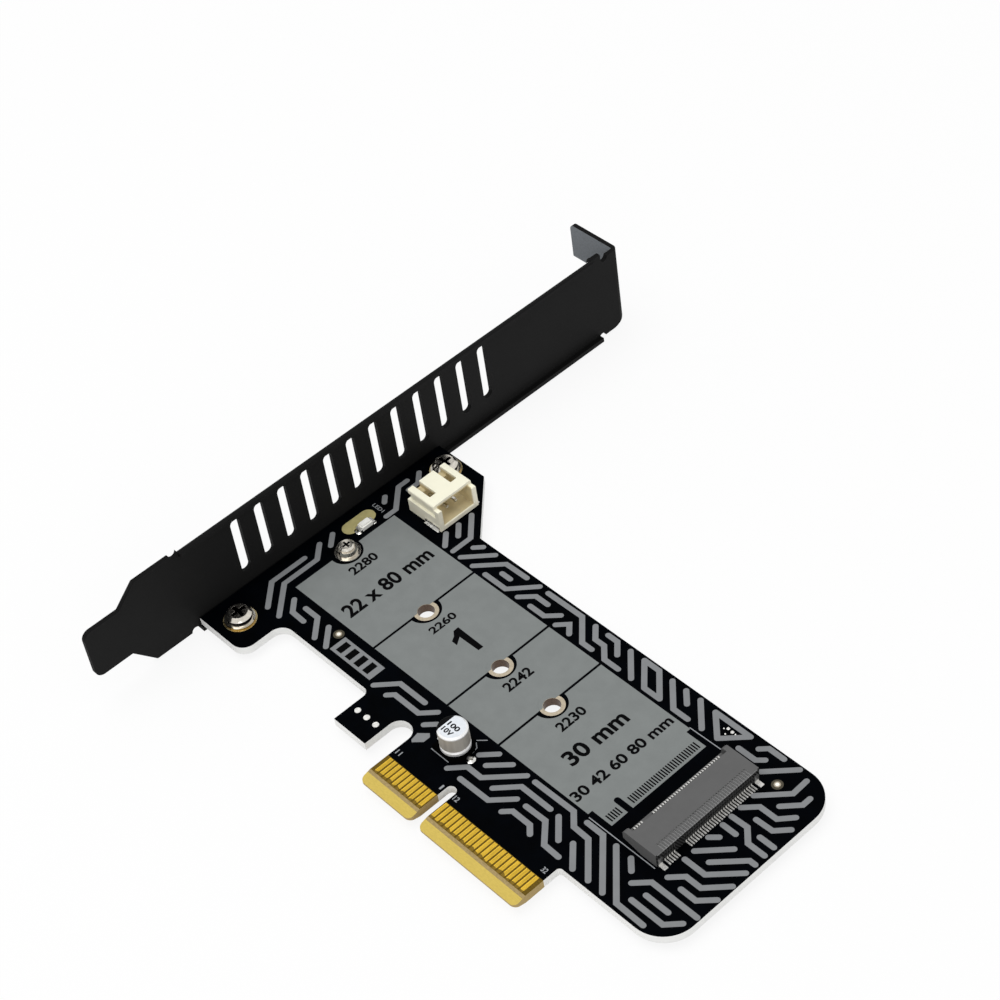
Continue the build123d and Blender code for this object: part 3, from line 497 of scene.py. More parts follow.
def mask_finish(look):
    """Black mask on both faces, bare laminate at the tongues and a pale routed edge."""
    layer_height = 0.2 * MM
    band_width = 0.5 * MM
    tongue_margin = 0.9 * MM
    finish = Finish("solder_mask", look.mask, 0.5, specular=0.01)
    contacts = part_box("edge_contacts_front")
    upward = finish.facing("Z")
    forward = finish.along("Y")
    cloud = finish.spread(finish.noise(3 * MM, 3.0))
    mask = finish.tint(cloud, look.mask, 0.6, 1.6)
    fibre = finish.spread(finish.noise(0.5 * MM, 3.0, (1, 3, 1)))
    between = finish.tint(fibre, look.between_contacts, 0.75, 1.2)
    band = finish.tint(fibre, look.tongue_edge, 0.7, 1.05)
    laminate = finish.mix(finish.below(forward, contacts[0][1]), between, band)
    layers = finish.repeat(finish.along("Z"), layer_height)
    edge = finish.tint(layers, look.cut_edge, 0.93, 1.0)
    tongue_edge = finish.tint(layers, look.tongue_edge, 0.9, 1.1)
    ground = finish.tint(fibre, look.bevel, 0.93, 1.06)
    root = finish.above(forward, look.bevel_length - band_width)
    bevel = finish.mix(root, ground, band)
    beside = finish.above(finish.off_centre("X", contacts), tongue_margin)
    covered = finish.either(finish.above(forward, look.mask_end), beside)
    flat = finish.above(upward, 0.995)
    steep = finish.below(upward, 0.5)
    face = finish.mix(covered, laminate, mask)
    side = finish.mix(covered, tongue_edge, edge)
    finish.colour(finish.mix(flat, finish.mix(steep, bevel, side), face))
    finish.surface(finish.noise(0.35 * MM), 0.42, 0.6, 0.003 * MM)
    return finish.material


def gold_finish(look):
    """Plated contacts with a painted highlight along one side edge, worn tips and fine wear
    along their length.
    """
    highlight_share = 0.13
    worn_length = 0.5 * MM
    worn_spread = 0.3 * MM
    finish = Finish("gold_plating", look.gold, 0.3, metallic=1.0)
    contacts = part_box("edge_contacts_front")
    wear = finish.noise(0.25 * MM, 3.0, (1, 0.15, 1))
    plain = finish.tint(finish.spread(wear), look.gold, 0.78, 1.1)
    across = finish.maths("SUBTRACT", finish.along("X"), contacts[0][0])
    # Painted highlight: a lighter gold strip along one side of each contact, where its edge
    # catches the light
    rim = finish.below(finish.repeat(across, look.contact_pitch), highlight_share)
    gold_with_painted_highlight = finish.mix(rim, plain, shade(look.gold, 1.25))
    drift = finish.spread(finish.noise(1.6 * MM, 1.0, (1, 0, 0)), -worn_spread, worn_spread)
    inward = finish.maths("SUBTRACT", finish.along("Y"), contacts[0][1] + worn_length)
    worn_end = finish.below(finish.maths("ADD", inward, drift), 0)
    finish.colour(finish.mix(worn_end, gold_with_painted_highlight, shade(look.between_contacts, 1.25)))
    finish.roughness(finish.noise(0.12 * MM), 0.22, 0.42)
    finish.relief(wear, 0.006 * MM)
    return finish.material


def ring_finish(metals):
    """Plated rings of the module holes, with painted shade on the walls of their bores."""
    finish = Finish("ring_plating", metals.ring, 0.35, metallic=0.7)
    marks = finish.noise(0.3 * MM, 3.0)
    factor = finish.spread(marks)
    ring = finish.tint(factor, metals.ring, 0.88, 1.08)
    # Painted shade: upright faces inside the holes take the dark bore colour
    bore_painted_shade = finish.tint(factor, metals.bore_painted_shade, 0.7, 1.3)
    finish.colour(finish.mix(finish.below(finish.facing("Z"), 0.5), ring, bore_painted_shade))
    finish.surface(marks, 0.3, 0.45, 0.003 * MM)
    return finish.material


def fiducial_finish(metals):
    """Alignment marks: bright in the middle and duller outside."""
    finish = Finish("fiducial_plating", metals.ring, 0.35, metallic=0.4)
    marks = finish.noise(0.2 * MM, 3.0)
    outer = finish.tint(finish.spread(marks), metals.ring, 0.75, 0.95)
    middle = finish.below(finish.away_from_any(FIDUCIALS), FIDUCIAL_CORE)
    finish.colour(finish.mix(middle, outer, metals.fiducial_core))
    finish.surface(marks, 0.3, 0.45, 0.003 * MM)
    return finish.material


def screw_finish(name, metals, centres, head_radius, head_top, flange_top):
    """Nickel plating of a screw, with painted shade in its cross recess and a golden flange
    edge.
    """
    recess_reach = head_radius * 0.62
    recess_start = 0.2 * MM
    finish = Finish(name, metals.nickel, 0.15, metallic=1.0)
    marks = finish.noise(0.5 * MM, 3.0)
    bright = finish.tint(finish.spread(marks), metals.nickel, 0.9, 1.12)
    height = finish.along("Z")
    gilt = finish.mix(finish.below(height, flange_top), bright, metals.flange_edge)
    # Painted shade: the cross recess is painted near black
    shaded_recess = finish.both(finish.below(finish.away_from_any(centres), recess_reach),
                       finish.below(height, head_top - recess_start))
    finish.colour(finish.mix(shaded_recess, gilt, metals.recess_painted_shade))
    finish.surface(marks, 0.12, 0.2, 0.0008 * MM)
    return finish.material


def contact_finish(name, metals, riser_painted_shade):
    """Tinned feet that are bright near the board, with a painted shade colour above them where
    the socket shades the contacts.
    """
    bright_height = BOARD_TOP + 0.5 * MM
    finish = Finish(name, metals.tin, 0.28, metallic=0.4)
    marks = finish.noise(0.3 * MM, 3.0)
    factor = finish.spread(marks)
    bright = finish.tint(factor, metals.tin, 0.9, 1.15)
    # Painted shade: above the bright height the tin takes a dark colour that stands in for
    # shadow
    dull = finish.tint(factor, riser_painted_shade, 0.8, 1.2)
    finish.colour(finish.mix(finish.above(finish.along("Z"), bright_height), bright, dull))
    finish.surface(marks, 0.2, 0.36, 0.003 * MM)
    return finish.material


def socket_finish(plastics):
    """Grey roof, walls in a slightly darker painted shade, a rear wall in near-black painted
    shade with its slanting ribs, and painted light in the roof's rear grooves.
    """
    rib_pitch, rib_slant, rib_share = 0.5 * MM, 0.6, 0.55
    rear_depth = 1.6 * MM
    row_margin = 0.3 * MM
    groove_low, groove_high = SOCKET[1][2] - 0.33 * MM, SOCKET[1][2] - 0.02 * MM
    finish = Finish("socket_moulding", plastics.socket, 0.6, specular=0.1)
    factor = finish.spread(finish.noise(1.6 * MM, 4.0))
    roof = finish.tint(factor, plastics.socket, 0.97, 1.03)
    # Painted shade: the walls take a slightly darker copy of the roof's grey
    side = finish.tint(factor, plastics.socket_side_painted_shade, 0.95, 1.05)
    height = finish.along("Z")
    slant = finish.maths("ADD", finish.along("Y"), finish.maths("MULTIPLY", height, rib_slant))
    rib = finish.above(finish.repeat(slant, rib_pitch), rib_share)
    # Painted shade: the rear wall is painted near black, with slightly paler rib stripes
    rear = finish.mix(rib, plastics.socket_rear_painted_shade, plastics.socket_rib_painted_shade)
    behind = finish.above(finish.along("X"), SOCKET[1][0] - rear_depth)
    rear_wall = finish.both(behind, finish.above(finish.towards("X"), 0.5))
    walls = finish.mix(rear_wall, side, rear)
    covered = finish.mix(finish.above(finish.facing("Z"), 0.9), walls, roof)
    between_ends = finish.below(finish.off_centre("Y", SOCKET), -row_margin)
    groove = finish.both(finish.above(height, groove_low), finish.below(height, groove_high))
    groove_painted_light = finish.both(finish.both(behind, between_ends), groove)
    # Painted light: the roof's rear grooves are painted 2.5 times lighter so that the shade in
    # them does not show
    finish.colour(finish.mix(groove_painted_light, covered, shade(plastics.socket, 2.5)))
    finish.surface(finish.noise(0.15 * MM, 3.0), 0.52, 0.7, 0.003 * MM)
    return finish.material


def header_finish(plastics):
    """Ivory moulding: pale top, walls in a slightly darker painted shade, and painted shade in
    tan inside its mouth and slots.
    """
    wall_across, wall_along = 0.75 * MM, 0.25 * MM
    roof_thickness, floor_thickness = 0.5 * MM, 0.75 * MM
    finish = Finish("header_moulding", plastics.header, 0.42, specular=0.3)
    factor = finish.spread(finish.noise(2.5 * MM, 4.0))
    top = finish.tint(factor, plastics.header, 0.97, 1.02)
    # Painted shade: the walls and the inside of the mouth and slots take darker copies of the
    # ivory
    side = finish.tint(factor, plastics.header_side_painted_shade, 0.95, 1.04)
    mouth_painted_shade = finish.tint(factor, plastics.header_mouth_painted_shade, 0.85, 1.15)
    height = finish.along("Z")
    outside = finish.mix(finish.above(finish.towards("Z"), 0.6), side, top)
    within = finish.both(finish.below(finish.off_centre("Y", HEADER), -wall_across),
                         finish.below(finish.off_centre("X", HEADER), -wall_along))
    hollow = finish.both(finish.below(height, HEADER[1][2] - roof_thickness),
                         finish.above(height, HEADER[0][2] + floor_thickness))
    finish.colour(finish.mix(finish.both(within, hollow), outside, mouth_painted_shade))
    finish.surface(finish.noise(0.2 * MM, 3.0), 0.36, 0.5, 0.003 * MM)
    return finish.material


def can_finish(metals, ink):
    """Drawn can: dull wall, bright bead and rim, pale top with a black segment."""
    bead_height = 1.05 * MM
    rim_height = 0.55 * MM
    segment_width = 1.15 * MM
    finish = Finish("drawn_can", metals.aluminium, 0.45, metallic=0.5, specular=0.1)
    drawn = finish.noise(0.6 * MM, 3.0, (1, 1, 0.08))
    factor = finish.spread(drawn)
    wall = finish.tint(factor, metals.aluminium, 0.92, 1.06)
    top = finish.tint(factor, metals.can_top, 0.97, 1.03)
    height = finish.along("Z")
    bead = finish.below(height, CAN[0][2] + bead_height)
    rim = finish.above(height, CAN[1][2] - rim_height)
    bright = finish.mix(finish.either(bead, rim), wall, metals.can_rim)
    level = finish.both(rim, finish.above(finish.facing("Z"), 0.97))
    capped = finish.mix(level, bright, top)
    segment = finish.both(rim, finish.below(finish.along("X"), CAN[0][0] + segment_width))
    finish.colour(finish.mix(segment, capped, ink))
    finish.surface(drawn, 0.38, 0.52, 0.002 * MM)
    return finish.material


def paint_finish(look):
    """Satin black coating with an orange-peel surface, painted shade on the flanges and edges
    that do not face along X, and painted light on the tab's face.
    """
    tab_depth = 2.6 * MM
    finish = Finish("bracket_paint", look.bracket_paint, 0.5, specular=0.03)
    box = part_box("bracket")
    peel = finish.noise(0.35 * MM)
    cloud = finish.spread(finish.noise(9 * MM, 3.0))
    plain = finish.tint(cloud, look.bracket_paint, 0.95, 1.05)
    # Painted shade: faces that do not face along X, such as the flanges, are painted at half
    # brightness
    flange_painted_shade = shade(look.bracket_paint, 0.5)
    with_shaded_flanges = finish.mix(finish.above(finish.facing("X"), 0.9), flange_painted_shade, plain)
    # Painted light: the tab's face pointing along -Y is painted pale grey
    tab_painted_light = finish.tint(finish.spread(peel), look.bracket_tab_painted_light, 0.9, 1.1)
    tab = finish.both(finish.above(finish.along("Y"), box[1][1] - tab_depth),
                      finish.below(finish.towards("Y"), -0.7))
    finish.colour(finish.mix(tab, with_shaded_flanges, tab_painted_light))
    finish.surface(peel, 0.42, 0.6, 0.006 * MM)
    return finish.material


def ink_finish(name, colour):
    """Printed ink: matte, with the faint grain of a screen print."""
    finish = Finish(name, colour, 0.7, specular=0.03)
    cloud = finish.spread(finish.noise(2.4 * MM, 3.0))
    finish.colour(finish.tint(cloud, colour, 0.96, 1.04))
    finish.surface(finish.noise(0.14 * MM, 3.0), 0.62, 0.78, 0.003 * MM)
    return finish.material


def dress(node, material, edge=0.0):
    """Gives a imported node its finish, and softens its edges where edge is a width."""
    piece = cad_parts[node]
    if not piece.material_slots:
        piece.data.materials.append(material)
    for place in piece.material_slots:
        place.material = material
    if edge:
        weld = piece.modifiers.new("Weld", "WELD")
        weld.merge_threshold = 0.0005 * MM
        bevel = piece.modifiers.new("Edges", "BEVEL")
        bevel.width = edge
        bevel.segments = 2
        bevel.limit_method = "ANGLE"
        bevel.angle_limit = math.radians(40)
        bevel.use_clamp_overlap = True


def finish_piece(name, shape, material):
    """Turns a bmesh into a named piece that rides on the card."""
    bmesh.ops.recalc_face_normals(shape, faces=shape.faces)
    mesh = bpy.data.meshes.new(name)
    shape.to_mesh(mesh)
    shape.free()
    mesh.materials.append(material)
    piece = bpy.data.objects.new(name, mesh)
    bpy.context.scene.collection.objects.link(piece)
    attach(piece, "root")
    return piece


def smooth(piece, angle=35):
    """Shades a piece smoothly up to an angle between its faces."""
    piece.data.shade_smooth()
    piece.data.set_sharp_from_angle(angle=math.radians(angle))


def prism(shape, outline, low, high):
    """Adds an upright block over a plan outline."""
    bottom = [shape.verts.new((x, y, low)) for x, y in outline]
    top = [shape.verts.new((x, y, high)) for x, y in outline]
    shape.faces.new(bottom)
    shape.faces.new(top)
    for index in range(len(outline)):
        after = (index + 1) % len(outline)
        shape.faces.new((bottom[index], bottom[after], top[after], top[index]))


def arc(centre, radius, start, end, steps):
    """Points on an arc, with its angles in radians."""
    angles = [start + (end - start) * step / steps for step in range(steps + 1)]
    return [(centre[0] + radius * math.cos(a), centre[1] + radius * math.sin(a)) for a in angles]


def circle(centre, radius, steps):
    """Points on a full circle."""
    return arc(centre, radius, 0, 2 * math.pi, steps)[:-1]


def rectangle(x_low, x_high, y_low, y_high):
    """Corners of an upright rectangle in plan."""
    return [(x_low, y_low), (x_high, y_low), (x_high, y_high), (x_low, y_high)]


def stroke(points, width, steps=7):
    """Outline of a line with mitred bends and round ends."""
    radius = width / 2
    outline = []
    for path in (points, points[::-1]):
        path = [Vector(point) for point in path]
        ways = [(b - a).normalized() for a, b in zip(path, path[1:])]
        normals = [Vector((-way.y, way.x)) for way in ways]
        for before, after, point in zip(normals, normals[1:], path[1:-1]):
            middle = (before + after).normalized()
            outline.append(tuple(point + middle * (radius / middle.dot(before))))
        start = math.atan2(normals[-1].y, normals[-1].x)
        outline += arc(path[-1], radius, start, start - math.pi, steps)
    return outline


def band(shape, outer, inner, low, high):
    """Adds a flat band between two outlines with the same number of points."""
    rows = [[shape.verts.new((x, y, z)) for x, y in outline]
            for outline, z in ((outer, low), (inner, low), (inner, high), (outer, high))]
    for first, second in zip(rows, rows[1:] + rows[:1]):
        for index in range(len(outer)):
            after = (index + 1) % len(outer)
            shape.faces.new((first[index], first[after], second[after], second[index]))


def closed_stroke(shape, corners, width, low, high):
    """Adds a closed printed line round corners given anticlockwise."""
    fillet = 0.05 * MM
    steps = 5
    outer, inner = [], []
    corners = [Vector(corner) for corner in corners]
    previous, following = corners[-1:] + corners[:-1], corners[1:] + corners[:1]
    for before, corner, after in zip(previous, corners, following):
        ways = [(corner - before).normalized(), (after - corner).normalized()]
        angles = [math.atan2(-way.x, way.y) for way in ways]
        turn = (angles[1] - angles[0]) % (2 * math.pi)
        middle = (ways[0] - ways[1]).normalized()
        reach = (width / 2 + fillet) / math.cos(turn / 2)
        outer += arc(corner, width / 2, angles[0], angles[0] + turn, steps)
        inner += arc(corner - middle * reach, fillet, angles[0], angles[0] + turn, steps)
    band(shape, outer, inner, low, high)


def turned(shape, profile, centre, segments):
    """Adds a turned form from (radius, height) points that start and end on the axis."""
    rings = []
    for radius, height in profile:
        if radius == 0:
            rings.append([shape.verts.new((centre[0], centre[1], height))])
            continue
        ring = circle(centre, radius, segments)
        rings.append([shape.verts.new((x, y, height)) for x, y in ring])
    for lower, upper in zip(rings, rings[1:]):
        for index in range(segments):
            after = (index + 1) % segments
            corners = [lower[index % len(lower)], lower[after % len(lower)],
                       upper[after % len(upper)], upper[index % len(upper)]]
            unique = list(dict.fromkeys(corners))
            if len(unique) > 2:
                shape.faces.new(unique)


def mound(shape, x_low, x_high, y_low, y_high, height):
    """Adds a solder mound: a block that narrows upwards in a hollow curve."""
    inset = 0.35 * MM
    top = BOARD_TOP + height
    rows = []
    narrow = min(x_high - x_low, y_high - y_low)
    for share, rise in ((0.0, 0.0), (0.55, 0.28), (0.85, 0.62), (1.0, 1.0)):
        step = inset * share
        level = BOARD_TOP + (top - BOARD_TOP) * rise
        cut = min(narrow / 2 - step, 0.3 * narrow)
        left, right = x_low + step, x_high - step
        near, far = y_low + step, y_high - step
        outline = [(left + cut, near), (right - cut, near), (right, near + cut),
                   (right, far - cut), (right - cut, far), (left + cut, far),
                   (left, far - cut), (left, near + cut)]
        rows.append([shape.verts.new((x, y, level)) for x, y in outline])
    shape.faces.new(rows[0])
    shape.faces.new(rows[-1])
    for lower, upper in zip(rows, rows[1:]):
        for index in range(8):
            after = (index + 1) % 8
            shape.faces.new((lower[index], lower[after], upper[after], upper[index]))


def letters(shape, words, levels, along_x, weight):
    """Adds words that read along +Y, or along +X where that is asked for."""
    for text, x, y, height, length in words:
        mesh = lettering_mesh(text, weight)
        fit_lettering(mesh, (x * MM, y * MM), height * MM, length * MM, levels, along_x)
        shape.from_mesh(mesh)
        bpy.data.meshes.remove(mesh)


def lettering_mesh(text, weight):
    """Mesh of one word, one unit thick, with its outline made bolder by a weight."""
    font = bpy.data.curves.new("lettering", "FONT")
    font.body = text
    font.offset = weight
    font.extrude = 0.5
    font.resolution_u = 4
    carrier = bpy.data.objects.new("lettering", font)
    mesh = bpy.data.meshes.new_from_object(carrier)
    bpy.data.objects.remove(carrier)
    bpy.data.curves.remove(font)
    return mesh


def fit_lettering(mesh, corner, height, length, levels, along_x):
    """Fits a word to its lower left corner, cap height, length and levels."""
    xs = [vertex.co.x for vertex in mesh.vertices]
    ys = [vertex.co.y for vertex in mesh.vertices]
    across = length / (max(xs) - min(xs))
    up = height / (max(ys) - min(ys))
    low, high = levels
    for vertex in mesh.vertices:
        along = (vertex.co.x - min(xs)) * across
        rise = (vertex.co.y - min(ys)) * up
        level = low + (vertex.co.z + 0.5) * (high - low)
        if along_x:
            vertex.co = (corner[0] + along, corner[1] + rise, level)
        else:
            vertex.co = (corner[0] - rise, corner[1] + along, level)


def scaled(points):
    """Points in millimetres as points in metres."""
    return [(x * MM, y * MM) for x, y in points]


# Printed strokes in millimetres: bands of parallel lines with forty-five degree turns
UPPER_STROKES = (
    ((-35.3, 44.7), (-34.1, 45.9)),
    ((-35.3, 41.8), (-31.2, 46.0)),
    ((-32.3, 41.8), (-28.3, 45.8), (-23.4, 45.9)),
    ((-27.3, 43.9), (-25.3, 43.9)),
    ((-29.3, 41.9), (-24.3, 41.9), (-20.4, 46.0)),
    ((-21.5, 42.0), (-19.3, 44.1), (-16.5, 44.1)),
    ((-18.5, 42.0), (-15.2, 42.0), (-13.2, 43.9)),
    ((-12.4, 41.9), (-10.8, 43.5), (-9.3, 42.0)),
    ((-18.3, 45.9), (-10.4, 46.0), (-6.4, 42.1), (-4.2, 42.1)),
    ((-7.3, 46.0), (-5.3, 44.0), (-3.3, 44.0), (-1.2, 42.0), (1.9, 42.0)),
    ((-4.4, 46.0), (-2.3, 46.0), (-0.3, 44.0)),
    ((0.7, 46.0), (4.8, 42.0)),
    ((10.0, 46.0), (14.1, 42.0), (17.2, 42.0)),
    ((13.0, 46.0), (15.0, 44.1)),
    ((16.0, 46.1), (20.1, 42.1)),
    ((26.9, 43.1), (30.4, 43.1), (31.5, 44.1)),
    ((29.3, 45.0), (30.4, 46.1), (33.5, 46.1)),
    ((32.5, 42.0), (36.6, 46.2)),
)
RIGHT_STROKES = (
    ((34.8, 38.0), (38.9, 42.2), (38.8, 45.3)),
    ((39.0, 39.1), (41.4, 41.6), (41.4, 43.2)),
    ((34.9, 35.1), (36.9, 37.1), (40.3, 37.1), (42.2, 39.2)),
    ((38.1, 35.0), (41.3, 35.1), (43.2, 37.1)),
    ((35.0, 33.0), (38.1, 33.1), (40.2, 31.0), (43.5, 31.0)),
    ((40.7, 33.0), (43.5, 33.0)),
    ((35.1, 31.0), (37.7, 31.0)),
    ((35.1, 27.9), (36.3, 29.0)),
    ((35.3, 24.7), (39.4, 28.9)),
    ((38.3, 24.7), (42.5, 28.9), (43.6, 28.9)),
    ((35.3, 22.7), (39.4, 22.7), (43.6, 26.9)),
    ((35.7, 18.7), (37.6, 20.6), (40.6, 20.6), (43.8, 23.9)),
    ((38.6, 18.5), (41.6, 18.5), (43.8, 20.7)),
    ((32.5, 14.4), (34.6, 16.5), (43.8, 16.5)),
    ((35.6, 14.3), (40.1, 14.3)),
    ((34.6, 12.3), (41.0, 12.3), (43.0, 14.4)),
)
LOWER_STROKES = (
    ((-1.9, 15.5), (0.3, 17.7)),
    ((0.4, 14.8), (3.4, 17.7)),
    ((-3.7, 10.4), (-1.5, 12.7), (1.6, 12.7), (6.6, 17.7)),
    ((4.4, 12.5), (7.5, 15.7), (13.9, 15.7)),
    ((8.4, 17.7), (16.8, 17.8), (18.9, 15.8), (22.1, 15.7), (27.5, 10.4)),
    ((-0.7, 10.4), (5.6, 10.5), (8.7, 13.6)),
    ((8.7, 10.4), (9.9, 11.6), (13.7, 11.6), (15.0, 10.4)),
    ((10.7, 13.6), (14.9, 13.7), (18.0, 10.5), (21.2, 10.4)),
    ((15.8, 15.6), (19.0, 12.5)),
    ((19.8, 17.7), (23.2, 17.7), (30.6, 10.3)),
    ((21.0, 13.6), (24.3, 10.3)),
    ((26.1, 17.6), (33.4, 10.4), (39.0, 10.3)),
    ((29.3, 17.5), (31.0, 15.9)),
)
LEFT_STROKES = (
    ((-55.9, 28.0), (-53.4, 25.4), (-53.4, 18.2), (-48.3, 12.9)),
    ((-55.3, 24.2), (-55.3, 17.0), (-51.3, 12.9)),
    ((-49.3, 17.0), (-47.3, 15.0), (-44.3, 14.9)),
    ((-46.3, 17.0), (-43.2, 17.0), (-40.1, 13.8)),
    ((-40.2, 16.9), (-37.2, 13.8)),
    ((-25.1, 13.7), (-22.1, 16.8), (-16.1, 16.8)),
    ((-22.0, 13.7), (-21.0, 14.7), (-15.3, 14.7), (-13.1, 16.9)),
    ((-12.9, 13.7), (-11.4, 15.2)),
    ((-56.0, 31.0), (-54.1, 29.0)),
    ((-55.9, 42.8), (-54.9, 41.8)),
    ((-55.9, 47.9), (-55.9, 45.9), (-52.1, 42.0), (-52.1, 39.8)),
    ((-55.8, 50.6), (-54.0, 48.8), (-54.0, 46.6)),
    ((-41.2, 49.7), (-37.3, 45.9), (-37.3, 41.9)),
    ((-41.2, 46.7), (-39.2, 44.8)),
    ((-41.3, 43.9), (-39.2, 41.8)),
)
LEFT_BLOCK = ((-12.4, 11.9), (-12.1, 10.4), (-11.7, 10.1), (-10.3, 11.4), (-10.3, 12.7),
              (-10.9, 13.2))
LEANING_FRAME = ((7.7, 42.0), (11.1, 42.0), (7.0, 46.1), (3.7, 46.1))
TRIANGLE = ((23.2, 42.3), (26.8, 45.9), (19.4, 45.9))
FINE_LINES = (
    ((18.6, 41.03), (25.1, 41.13)),
    ((19.4, 18.55), (33.2, 18.55)),
    ((-8.4, 11.35), (-4.45, 11.31)),
    ((-4.0, 16.8), (-3.2, 16.2), (-2.97, 15.1)),
    ((-4.3, 17.2), (-3.1, 18.3)),
)
ONE = ((-23.98, 31.04), (-23.94, 29.98), (-23.03, 29.25), (-22.47, 28.32), (-21.24, 28.31),
       (-22.26, 29.81), (-17.83, 29.91), (-17.77, 30.94))

# Tinned dots in the triangle: X, Y and radius in millimetres
TRIANGLE_DOTS = ((23.1, 44.85, 0.3), (24.05, 44.75, 0.32), (22.6, 44.4, 0.16),
                 (24.75, 44.7, 0.18), (23.5, 43.75, 0.18))

# Printed box with its dark bars, in millimetres
BOX = (-36.4, -26.4, 13.95, 17.3)
BAR_COUNT = 4
BAR_START = 0.9
BAR_PITCH = 2.2
BAR_WIDTH = 1.3
BAR_INSET = 0.55

# Rows of tick marks at the module field's end: first Y and count, then sizes in millimetres
TICK_ROWS = ((25.1, 29), (20.45, 5))
TICK_PITCH = 0.505
TICK_WIDTH = 0.26
TICK_START = 20.95
TICK_END = 22.5

# Lettering: weights of its outline, then text, corner, cap height and length in millimetres
BOLD = 0.028
MEDIUM = 0.015
FIELD_WORDS = (
    ("2280", -45.7, 27.2, 1.95, 5.6),
    ("2260", -25.8, 27.3, 1.6, 5.35),
    ("2242", -7.6, 27.2, 1.95, 5.6),
    ("2230", 4.55, 27.2, 1.95, 5.6),
    ("22 x 80 mm", -38.75, 20.6, 3.1, 18.6),
    ("30 mm", 10.7, 23.6, 3.1, 12.5),
    ("30 42 60 80 mm", 16.1, 19.3, 2.1, 21.0),
)
CONTACT_NUMBERS = (
    ("11", -12.1, 6.9, 0.95, 0.95),
    ("1", -1.75, 6.9, 0.95, 0.35),
    ("12", 1.3, 6.9, 0.95, 1.0),
    ("32", 20.9, 6.9, 0.95, 1.0),
)
DIODE_WORDS = (("LED1", -56.0, 39.9, 0.75, 2.6),)
CAN_WORDS = (("100", -6.5, 13.75, 0.95, 2.35), ("10V", -6.5, 12.45, 0.95, 2.15))


class CARD_OT_board(Operator):
    """Give the board, its plating and its pads their finishes"""

    bl_idname = "card.board"
    bl_label = "Board and plating"

    def execute(self, context):
        look = context.scene.card_board
        metals = context.scene.card_metals
        dress("pcb", mask_finish(look))
        gold = gold_finish(look)
        dress("edge_contacts_front", gold)
        dress("edge_contacts_back", gold)
        dress("module_hole_plating", ring_finish(metals))
        dress("test_pads", metal_finish("tinned_pads", metals.tin, 0.3, 0.3 * MM))
        rings = metal_finish("screw_pads", metals.screw_ring, 0.3, 0.3 * MM)
        dress("screw_hole_plating", rings)
        dress("fiducial_pads", fiducial_finish(metals))
        self.patches(look)
        return {"FINISHED"}

    def patches(self, look):
        """Clearings round the alignment marks, and the bare window beside the diode."""
        patch_top = BOARD_TOP + PATCH_HEIGHT
        clearing = bmesh.new()
        for centre in FIDUCIALS:
            outer = circle(centre, FIDUCIAL_CLEARING, 28)
            inner = circle(centre, FIDUCIAL_PAD, 28)
            band(clearing, outer, inner, BOARD_TOP, patch_top)
        dull = mottled("fiducial_clearing", look.clearing, 0.6, 0.4 * MM, 0.1, specular=0.1)
        finish_piece("fiducial_clearings", clearing, dull)
        shape = bmesh.new()
        prism(shape, stroke(WINDOW_ENDS, WINDOW_WIDTH, 12), BOARD_TOP, patch_top)
        bare = mottled("bare_laminate", look.laminate, 0.55, 0.8 * MM, 0.07, specular=0.2)
        finish_piece("laminate_window", shape, bare)


def halo(hole, left, look):
    """Arc that keeps a tile's left edge clear of the hole there."""
    centre = (hole[0] - TILE_OFFSET, hole[1])
    angle = math.acos(max(-1, min(1, (left - centre[0]) / look.halo_radius)))
    return arc(centre, look.halo_radius, angle, -angle, 24)


def field_tile(left, right, low, high, hole_left, hole_right, look):
    """Outline of one module length of the field, cleared round the holes at its ends."""
    turn = math.acos((right - hole_right[0]) / look.bore_clearance)
    outline = [(left, low), (right, low)]
    outline += arc(hole_right, look.bore_clearance, 2 * math.pi - turn, turn, 12)
    outline += [(right, high), (left, high)]
    return outline + halo(hole_left, left, look)


def crescent(centre, edge, inner, outer):
    """Outline of the part of a flat ring that lies left of an upright line."""
    steps = 14
    inner_turn = math.acos((edge - centre[0]) / inner)
    outer_turn = math.acos((edge - centre[0]) / outer)
    full = 2 * math.pi
    return (arc(centre, outer, outer_turn, full - outer_turn, steps)
            + arc(centre, inner, full - inner_turn, inner_turn, steps))


